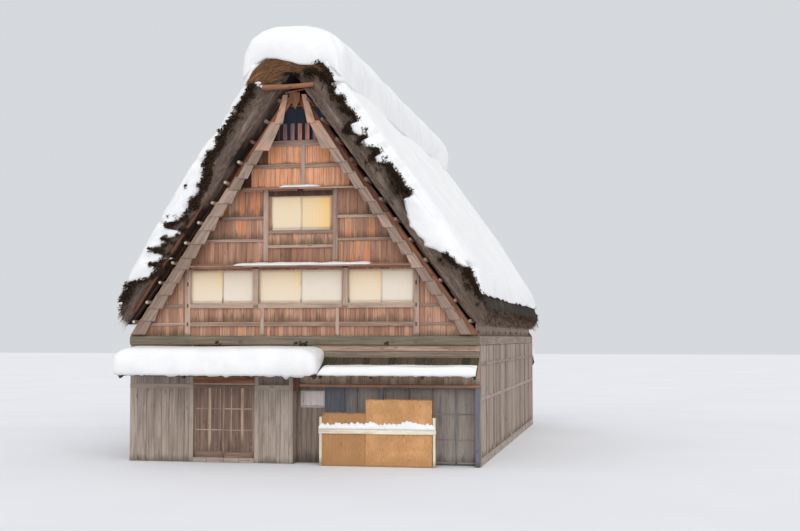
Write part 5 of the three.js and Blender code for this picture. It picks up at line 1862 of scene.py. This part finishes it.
class FARMHOUSE_OT_entrance(bpy.types.Operator):
    """Plank walls beside and over the doorway, its threshold, and the two sliding leaves"""
    bl_idname = "farmhouse.entrance"
    bl_label = "Entrance"

    def execute(self, context):
        width = context.scene.farmhouse_timber.ground_board_width
        self.left_wall(width)
        self.middle_wall(width * 0.8)
        self.head()
        for leaf in LEAVES:
            self.leaf(*leaf)
        return {"FINISHED"}

    def left_wall(self, width):
        """The wall left of the doorway"""
        work = Joinery("left wall")
        y, top = -WALL_FACE, WALL_TOP - GAP
        work.panel(-HALF_WIDTH, DOOR_LEFT, 0, top, y, -1, 0.055)
        wall_planks(work, -HALF_WIDTH, DOOR_LEFT - 0.13, 0.0, top, y - 0.056, -1, width, bleached_plank)
        for x in (-5.38, DOOR_LEFT - 0.066):
            work.post(x, -9.045, 0, top, 0.13, 0.11, 0.008, 0.002, 0.9, 3)
        work.rail(-HALF_WIDTH, DOOR_LEFT, -9.07, 2.30, 0.15, 0.07, 0.007, 0.002, 0.7, 3)
        work.done("plank_wall_left", "gray_timber_grain", "gray_timber", "front_wall_left")

    def middle_wall(self, width):
        """The wall between the doorway and the veranda, with the board at its corner"""
        work = Joinery("middle wall")
        y, top = -WALL_FACE, WALL_TOP - GAP
        left, right = DOOR_RIGHT + 0.12, -0.345
        work.panel(DOOR_RIGHT, -0.215, 0, top, y, -1, 0.055)
        wall_planks(work, left, right, 0.0, 2.22, y - 0.056, -1, width, bleached_plank)
        wall_planks(work, left, right, 2.34, top, y - 0.056, -1, width, lambda dice: 0.2 * dice)
        for x in (DOOR_RIGHT + 0.06, -0.28):
            work.post(x, -9.045, 0, top, 0.125, 0.11, 0.008, 0.002, 1.0, 3)
        work.rail(left, right, -9.075, 2.28, 0.14, 0.06, 0.007, 0.002, 0.9)
        # Painted light: the corner board takes the palest tone, so that its side face, which is in shade,
        # looks lit
        corners = [(-0.315, y, 0), (-0.315, -8.65, 0), (-0.315, -8.65, top), (-0.315, y, top)]
        work.board(corners, (1, 0, 0), 0.1, 0.004, UP, 1.0)
        work.done("plank_wall_middle", "gray_timber_grain", "gray_timber", "front_wall_middle")

    def head(self):
        """The wall over the doorway, the track of the leaves and the threshold of timber blocks"""
        head = Joinery("entrance head")
        left, right = DOOR_LEFT + GAP, DOOR_RIGHT - GAP
        head.panel(left, right, DOOR_HIGH, WALL_TOP - GAP, -WALL_FACE, -1, 0.055)
        wall_planks(head, left, right, 2.66, WALL_TOP - GAP, -WALL_FACE - 0.056, -1, 0.22)
        head.rail(left, right, -9.055, 2.54, 0.27, 0.12, 0.012, 0.0, 0.55, 6)
        head.done("entrance_head", "rust_boards", "red_timber", "entrance_head_wall")
        track = Joinery("door track")
        track.rail(left, right, -9.065, 2.375, 0.05, 0.08, 0.004, 0.0, 1.0, 4)
        track.done("door_track", "rose_timber", "gray_timber")
        sill = Joinery("threshold")
        edges = [left, -2.93, -2.38, -1.90, right]
        for a, b in zip(edges, edges[1:]):
            sill.rail(a + 0.003, b - 0.003, -9.05, 0.07, 0.139, 0.178, 0.012, 0.0, sill.pick(0.75, 1.0), 3)
        sill.done("threshold_blocks", "gray_timber_grain", "gray_timber", "entrance_threshold")

    def leaf(self, hand, x0, x1, back, bars):
        """A sliding leaf: thin boards behind a frame, level rails and a few upright bars"""
        name = f"entrance_leaf_{hand}"
        leaf = Joinery(name)
        low, high = DOOR_LOW + 0.0006, DOOR_HIGH - 0.006
        left, right, y = x0 + 0.06, x1 - 0.06, back - 0.018
        x = left
        while x < x1 - 0.065:
            step = min(0.115, right - x)
            edges = (x + 0.001, x + step - 0.002, low + 0.03, high - 0.03)
            leaf.panel(*edges, back - 0.008, -1, 0.012, 0.002, leaf.pick(0, 0.2))
            x += step
        for x in (x0 + 0.034, x1 - 0.034):
            leaf.post(x, y, low, high, 0.067, 0.036, 0.004, 0, 0.35)
        leaf.rail(left, right, y, low + 0.095, 0.19, 0.034, 0.003, 0, 0.15)
        leaf.rail(left, right, y, high - 0.045, 0.09, 0.034, 0.003, 0, 0.15)
        for z in (0.975, 1.62):
            leaf.rail(left, right, y - 0.008, z, 0.035, 0.012, 0.003, 0, 0.75)
        for x, wide, tone in bars:
            leaf.post(x, y - 0.007, low + 0.18, high - 0.08, wide, 0.018, 0.003, 0, tone)
        leaf.done(f"lattice_leaf_{hand}", "door_wood", "red_timber", name, body=name)


def bleached_plank(dice):
    """The tone of a plank that the sun has bleached"""
    return 0.35 + 0.65 * dice


PILLAR = 2.53
PANEL_EDGES = [0.68, 1.29, 1.69, 2.49, 3.27, 3.98, 4.68, 5.35 - GAP]
PANEL_TONES = (0.1, 0.55, 1.2, 1.1, 0.9, 0.85, 0.8)
PANEL_TOP = 2.30


class FARMHOUSE_OT_veranda(bpy.types.Operator):
    """The recess on the right with its dark sliding panels, posts and head wall"""
    bl_idname = "farmhouse.veranda"
    bl_label = "Veranda"

    def execute(self, context):
        self.recess()
        self.panels()
        self.head()
        for name, x, wide, deep in (("middle", PILLAR, 0.075, 0.12), ("corner", 5.38, 0.14, 0.0997)):
            post = Joinery(f"post {name}")
            post.post(x, -HALF_LENGTH + deep / 2, 0, 2.2995, wide, deep, 0.01, 0.003, 0.1, 5)
            post.done(f"veranda_pillar_{name}", "dark_panel_wood", "gray_timber", f"veranda_post_{name}")
        return {"FINISHED"}

    def recess(self):
        """The short wall at the left of the panels, with a pale hatch"""
        wall = Joinery("recess")
        top = WALL_TOP - GAP
        wall.panel(-0.315, 0.85, 0, top, -8.55, -1, 0.06)
        wall_planks(wall, -0.215, 0.85, 0.0, top, -8.612, -1, 0.15, lambda dice: 0.5 * dice, 0.034)
        wall.done("recess_boards", "recess_wood", "plank_wall", "recess_wall")
        hatch = Joinery("hatch")
        hatch.panel(-0.06, 0.62, 1.70, 2.14, -8.648, -1, 0.012, 0.003, 1.0)
        for x in (-0.08, 0.64):
            hatch.post(x, -8.655, 1.66, 2.18, 0.035, 0.03, 0.004, 0, 0.5)
        for z in (1.68, 2.16):
            hatch.rail(-0.06, 0.62, -8.655, z, 0.03, 0.028, 0.004, 0, 0.5)
        hatch.done("recess_hatch", "hatch_board", "gray_timber")

    def panels(self):
        """Framed panels that stand one behind another in two grooves"""
        work = Joinery("panels")
        work.panel(0.8503, PANEL_EDGES[-1], 0, WALL_TOP - GAP, -8.59, -1, 0.03, tone=0.0)
        for i, (a, b) in enumerate(zip(PANEL_EDGES, PANEL_EDGES[1:])):
            plane = -8.648 if i == 0 else -8.621 - 0.012 * (i % 2)
            tone = PANEL_TONES[i]
            work.panel(a + 0.003, b - 0.003, 0.02, PANEL_TOP, plane, -1, 0.012, tone=tone)
            for x in (a + 0.022, b - 0.022):
                work.post(x, plane - 0.014, 0.02, PANEL_TOP, 0.036, 0.022, 0.003, 0, tone * 0.6)
            for z in (0.07, 0.75, 1.50, 2.26):
                work.rail(a + 0.04, b - 0.04, plane - 0.013, z, 0.05, 0.018, 0.003, 0, tone * 0.7)
        work.panel(0.8503, PANEL_EDGES[-1], PANEL_TOP, WALL_TOP - GAP, -8.62, -1, 0.03, tone=0.2)
        work.done("sliding_panels", "dark_panel_wood", "dark_panel", "veranda_shutters")

    def head(self):
        """The wall over the veranda: a wide plank, its rails, a band and the block under its end"""
        head = Joinery("veranda head")
        left = -0.215 + GAP
        head.panel(left, HALF_WIDTH, 2.32, WALL_TOP - GAP, -WALL_FACE, -1, 0.05)
        # Painted light: tones above 1 make the planks under the pent roof pale, to lift them out of its
        # shade
        wall_planks(head, left, HALF_WIDTH, 2.40, 3.24, -9.051, -1, 0.9, lambda dice: 1.0 + 0.2 * dice)
        for z, high, tone in ((2.345, 0.09, 0.15), (3.468, 0.175, 0.85)):
            head.rail(left, HALF_WIDTH, -9.055, z, high, 0.10, 0.01, 0.0, tone, 8)
        for x in (PILLAR, 4.6):
            head.post(x, -9.07, 3.37, 3.5, 0.11, 0.085, 0.008, 0, 0.5)
        head.done("veranda_head", "head_wood", "red_timber", "veranda_head_wall")
        band = Joinery("veranda band")
        band.rail(left, HALF_WIDTH, -9.05, 3.29, 0.165, 0.11, 0.012, 0.0, 0.6, 12)
        band.done("veranda_band", "beam_wood", "gray_timber")
        block = Joinery("corner block")
        block.post(-0.10, -9.062, 2.17, 2.62, 0.19, 0.12, 0.012, 0, 0.0)
        block.done("lintel_block", "red_timber_grain", "red_timber")


MAT_FACE = -9.43
STALK = 0.012  # Distance between the ribs of a mat


class FARMHOUSE_OT_straw_mats(bpy.types.Operator):
    """Straw mats that stand between two rails before the veranda"""
    bl_idname = "farmhouse.straw_mats"
    bl_label = "Straw mats"

    def execute(self, context):
        self.mat("low", 0.78, 2.1097, 1.555)
        self.mat("high", 2.11, 4.09, 1.975)
        self.rails()
        self.snow()
        return {"FINISHED"}

    def mat(self, name, x0, x1, top):
        """One mat with its ribs, ties and ragged top, and the straws that come loose from it"""
        wide = x1 - x0

        def place(u, v, w):
            x = x0 + wide * w
            rib = 0.5 + 0.5 * math.cos(math.pi * wide * w / STALK)
            corner = 0.14 * (1 - rounded(w * wide + 0.01, 0.16)) if name == "low" else 0.0
            ragged = 0.018 * rough(x * 9, 1, 2) + 0.02 * rough(x * 2.2, 2, 2) - 0.02
            z = (top + (ragged - corner)) * u
            depth = 0.026 + 0.005 * rib + 0.004 * rough(x * 4, z * 2, 1)
            pinch = 0.004 * sum(math.exp(-((z - tie) / 0.03) ** 2) for tie in (0.3, 0.8, 1.3, 1.75))
            bow = 0.003 * rough(x * 1.2, z * 1.2, 6)
            y = MAT_FACE + 0.0325 + bow + (v - 0.5) * 2 * (depth - pinch)
            return (x, y, z), (0.12 if name == "low" else 0.36) + 0.06 * rough(x * 30, z * 0.7, 3)

        cells = (44, 1, int(wide / STALK))
        made = mass(f"rice_mat_{name}", cells, place, "rice_straw_matting", (top, 0.06, wide))
        keep(made, "foot", [p.co.z for p in made.data.vertices])
        settle(made, "straw_mat", f"straw_mat_{name}")
        loose = Sheaf(f"mat {name}", 0.009)
        for _ in range(700):
            x, z = loose.pick(x0 + 0.01, x1 - 0.01), loose.pick(0.02, 0.99)
            at_top = loose.pick(0, 1) < 0.9
            y = MAT_FACE + (loose.pick(0.02, 0.045) if at_top else 0.004)
            root = Vector((x, y, top * 0.985 - 0.03 if at_top else top * z))
            way = loose.pick(-0.3, 0.3), loose.pick(-0.25, 0.1), 1 if at_top else loose.pick(-1, 1)
            long = loose.pick(0.03, 0.09 if at_top else 0.16)
            loose.straw(root, Vector(way), long, 0.0, loose.pick(0.7, 1.0))
        loose.done(f"mat_straws_{name}", "loose_mat_straw", "straw_mat")

    def rails(self):
        """A rail before the mats and one behind them, two stakes, and a tie to the veranda"""
        work = Joinery("mat rail")
        work.rail(0.68, 4.21, -9.45, 1.02, 0.135, 0.038, 0.006, 0.004, 0.9, 8)
        work.rail(0.70, 4.19, -9.334, 1.395, 0.088, 0.058, 0.006, 0.002, 0.5, 8)
        tie = [(PILLAR, y, 1.395) for y in (-9.36, -HALF_LENGTH - GAP)]
        work.bar(*tie, (1, 0, 0), 0.058, 0.058, 0.005, 0, 0.4)
        for x in (0.74, 4.15):
            work.post(x, -9.395, 0, 1.44, 0.078, 0.105, 0.008, 0.003, 0.5, 3)
        work.done("mat_rails", "pale_rail_wood", "pale_timber", "mat_rail")

    def snow(self):
        """A crest of snow on the front rail"""
        def place(u, v, w):
            x = 0.69 + 3.50 * u
            high = 0.17 + 0.06 * rough(x * 1.3, 1, 4) + 0.06 * max(0, rough(x * 3.7, 5, 2))
            high += 0.05 * rough(x * 11, 3, 1)
            high *= 0.3 + 0.7 * rounded(min(u, 1 - u) * 3.50 + 0.01, 0.15)
            lean = 0.045 * (1 - w) * math.sin(math.pi * v)
            y = -9.478 + 0.058 * v - lean * 0.1 - 0.012 * math.sin(math.pi * w) * (v == 0)
            z = 1.0885 + max(high, 0.02) * w * (0.6 + 0.4 * v)
            return x, min(y, MAT_FACE - 0.001), z

        snow_mass("mat_rail_snow", (190, 4, 4), place)


class FARMHOUSE_OT_floors(bpy.types.Operator):
    """Boarded floors of the ground floor and both attics"""
    bl_idname = "farmhouse.floors"
    bl_label = "Floors"

    def execute(self, context):
        ground = [(-5.3497, -0.3153, -8.955, 8.9997), (-0.3153, 5.3497, -8.5494, 8.9997)]
        self.floor("ground_floor", "ground_boards", ground, 0.0, 0.1)
        lower = (-5.1997, 5.1997, -8.9297, 8.9297)
        self.floor("attic_floor_lower", "lower_attic_boards", [lower], 3.71, 3.805)
        half = under_roof(6.0, 0.348)
        upper = (-half, half, -8.9797, 8.9797)
        self.floor("attic_floor_upper", "upper_attic_boards", [upper], 5.91, 6.0)
        return {"FINISHED"}

    def floor(self, node, name, areas, low, high):
        """Floor boards in three lengths on a plain layer, over areas (x0, x1, y0, y1)"""
        work = Joinery(name)
        for x0, x1, y0, y1 in areas:
            base = [(x0, y0, low), (x1, y0, low), (x1, y1, low), (x0, y1, low)]
            work.board(base, UP, high - low - 0.026, 0.004, (0, 1, 0), 0.1)
            x = x0
            while x < x1 - 0.01:
                step = min(0.28 * work.pick(0.85, 1.15), x1 - x)
                joints = [y0 + (y1 - y0) * work.pick(*share) for share in ((0.25, 0.45), (0.6, 0.8))]
                cuts = [y0, *joints, y1]
                for a, b in zip(cuts, cuts[1:]):
                    left, right, near, far = x + 0.002, x + step - 0.002, a + 0.002, b - 0.002
                    corners = [(px, py, high - 0.025)
                               for px, py in ((left, near), (right, near), (right, far), (left, far))]
                    work.board(corners, UP, 0.025, 0.003, (0, 1, 0))
                x += step
        work.done(name, "floor_planks", "floor_boards", node)


CAMERA_PLACE = (9.956, -44.148, 3.773)
CAMERA_WAY = Vector((-0.1923, 0.9795, 0.0603))


class FARMHOUSE_OT_stage(bpy.types.Operator):
    """Pale floor, soft lights and the camera"""
    bl_idname = "farmhouse.stage"
    bl_label = "Stage"

    def execute(self, context):
        stage = context.scene.farmhouse_stage
        scene = context.scene
        scene.view_settings.view_transform = "Standard"
        self.floor(stage)
        world = bpy.data.worlds.new("soft_studio")
        world.use_nodes = True
        background = world.node_tree.nodes["Background"]
        background.inputs["Color"].default_value = (*stage.backdrop, 1)
        background.inputs["Strength"].default_value = 1.0
        scene.world = world
        self.lamp("key", (14, -34, 30), stage.key_strength, 1.1)
        self.lamp("fill", (-30, -26, 16), stage.key_strength * 0.3, 1.4)
        self.lamp("side", (26, -2, 24), stage.key_strength * 0.26, 1.6)
        camera = bpy.data.cameras.new("camera")
        camera.lens, camera.sensor_width = 54, 36
        camera.clip_end = 500
        holder = bpy.data.objects.new("camera", camera)
        holder.location = CAMERA_PLACE
        holder.rotation_euler = CAMERA_WAY.to_track_quat("-Z", "Y").to_euler()
        scene.collection.objects.link(holder)
        scene.camera = holder
        return {"FINISHED"}

    def floor(self, stage):
        """A plain floor that reaches to the horizon"""
        paint = Paint("studio_floor", {"Specular IOR Level": 0.2, "Roughness": 0.9})
        cloud = paint.noise(paint.place(), 0.15, 2)
        dim = tuple(c * 0.97 for c in stage.floor)
        paint.feed("Base Color", paint.mix(cloud.between(0.3, 0.7), stage.floor, dim))
        work = bmesh.new()
        bmesh.ops.create_grid(work, x_segments=8, y_segments=8, size=240)
        mesh = bpy.data.meshes.new("studio_floor")
        work.to_mesh(mesh)
        work.free()
        mesh.materials.append(paint.material)
        ground = bpy.data.objects.new("studio_floor", mesh)
        ground.location.z = -0.005
        bpy.context.scene.collection.objects.link(ground)

    def lamp(self, name, place, strength, softness):
        """A soft light that shines from a place to the house"""
        light = bpy.data.lights.new(name, "SUN")
        light.energy, light.angle = strength, softness
        lamp = bpy.data.objects.new(name, light)
        lamp.location = place
        lamp.rotation_euler = Vector(place).to_track_quat("Z", "Y").to_euler()
        bpy.context.scene.collection.objects.link(lamp)


OPERATORS = (
    FARMHOUSE_OT_stage,
    FARMHOUSE_OT_gable_walls,
    FARMHOUSE_OT_barge_boards,
    FARMHOUSE_OT_roof_frame,
    FARMHOUSE_OT_thatch,
    FARMHOUSE_OT_ridge_hood,
    FARMHOUSE_OT_roof_snow,
    FARMHOUSE_OT_ledges,
    FARMHOUSE_OT_screens,
    FARMHOUSE_OT_pent_roofs,
    FARMHOUSE_OT_body,
    FARMHOUSE_OT_entrance,
    FARMHOUSE_OT_veranda,
    FARMHOUSE_OT_straw_mats,
    FARMHOUSE_OT_floors,
)


class FARMHOUSE_PT_panel(bpy.types.Panel):
    """Sizes and colours of the farmhouse, and its makers"""
    bl_idname = "FARMHOUSE_PT_panel"
    bl_label = "Farmhouse"
    bl_space_type = "VIEW_3D"
    bl_region_type = "UI"
    bl_category = "Farmhouse"

    def draw(self, context):
        for name, group in SETTINGS.items():
            box = self.layout.box()
            box.label(text=name.split("_")[1].capitalize())
            for setting in group.__annotations__:
                box.prop(getattr(context.scene, name), setting)
        for operator in OPERATORS:
            self.layout.operator(operator.bl_idname)


CLASSES = (*SETTINGS.values(), *OPERATORS, FARMHOUSE_PT_panel)


def register():
    """Makes the operators, the panel and the settings known"""
    for item in CLASSES:
        bpy.utils.register_class(item)
    for name, group in SETTINGS.items():
        setattr(bpy.types.Scene, name, PointerProperty(type=group))


def unregister():
    """Takes the operators, the panel and the settings back out"""
    for name in SETTINGS:
        delattr(bpy.types.Scene, name)
    for item in reversed(CLASSES):
        bpy.utils.unregister_class(item)


def main():
    """Makes every piece"""
    register()
    for operator in OPERATORS:
        group, name = operator.bl_idname.split(".")
        getattr(getattr(bpy.ops, group), name)()


if __name__ == "__main__":
    main()
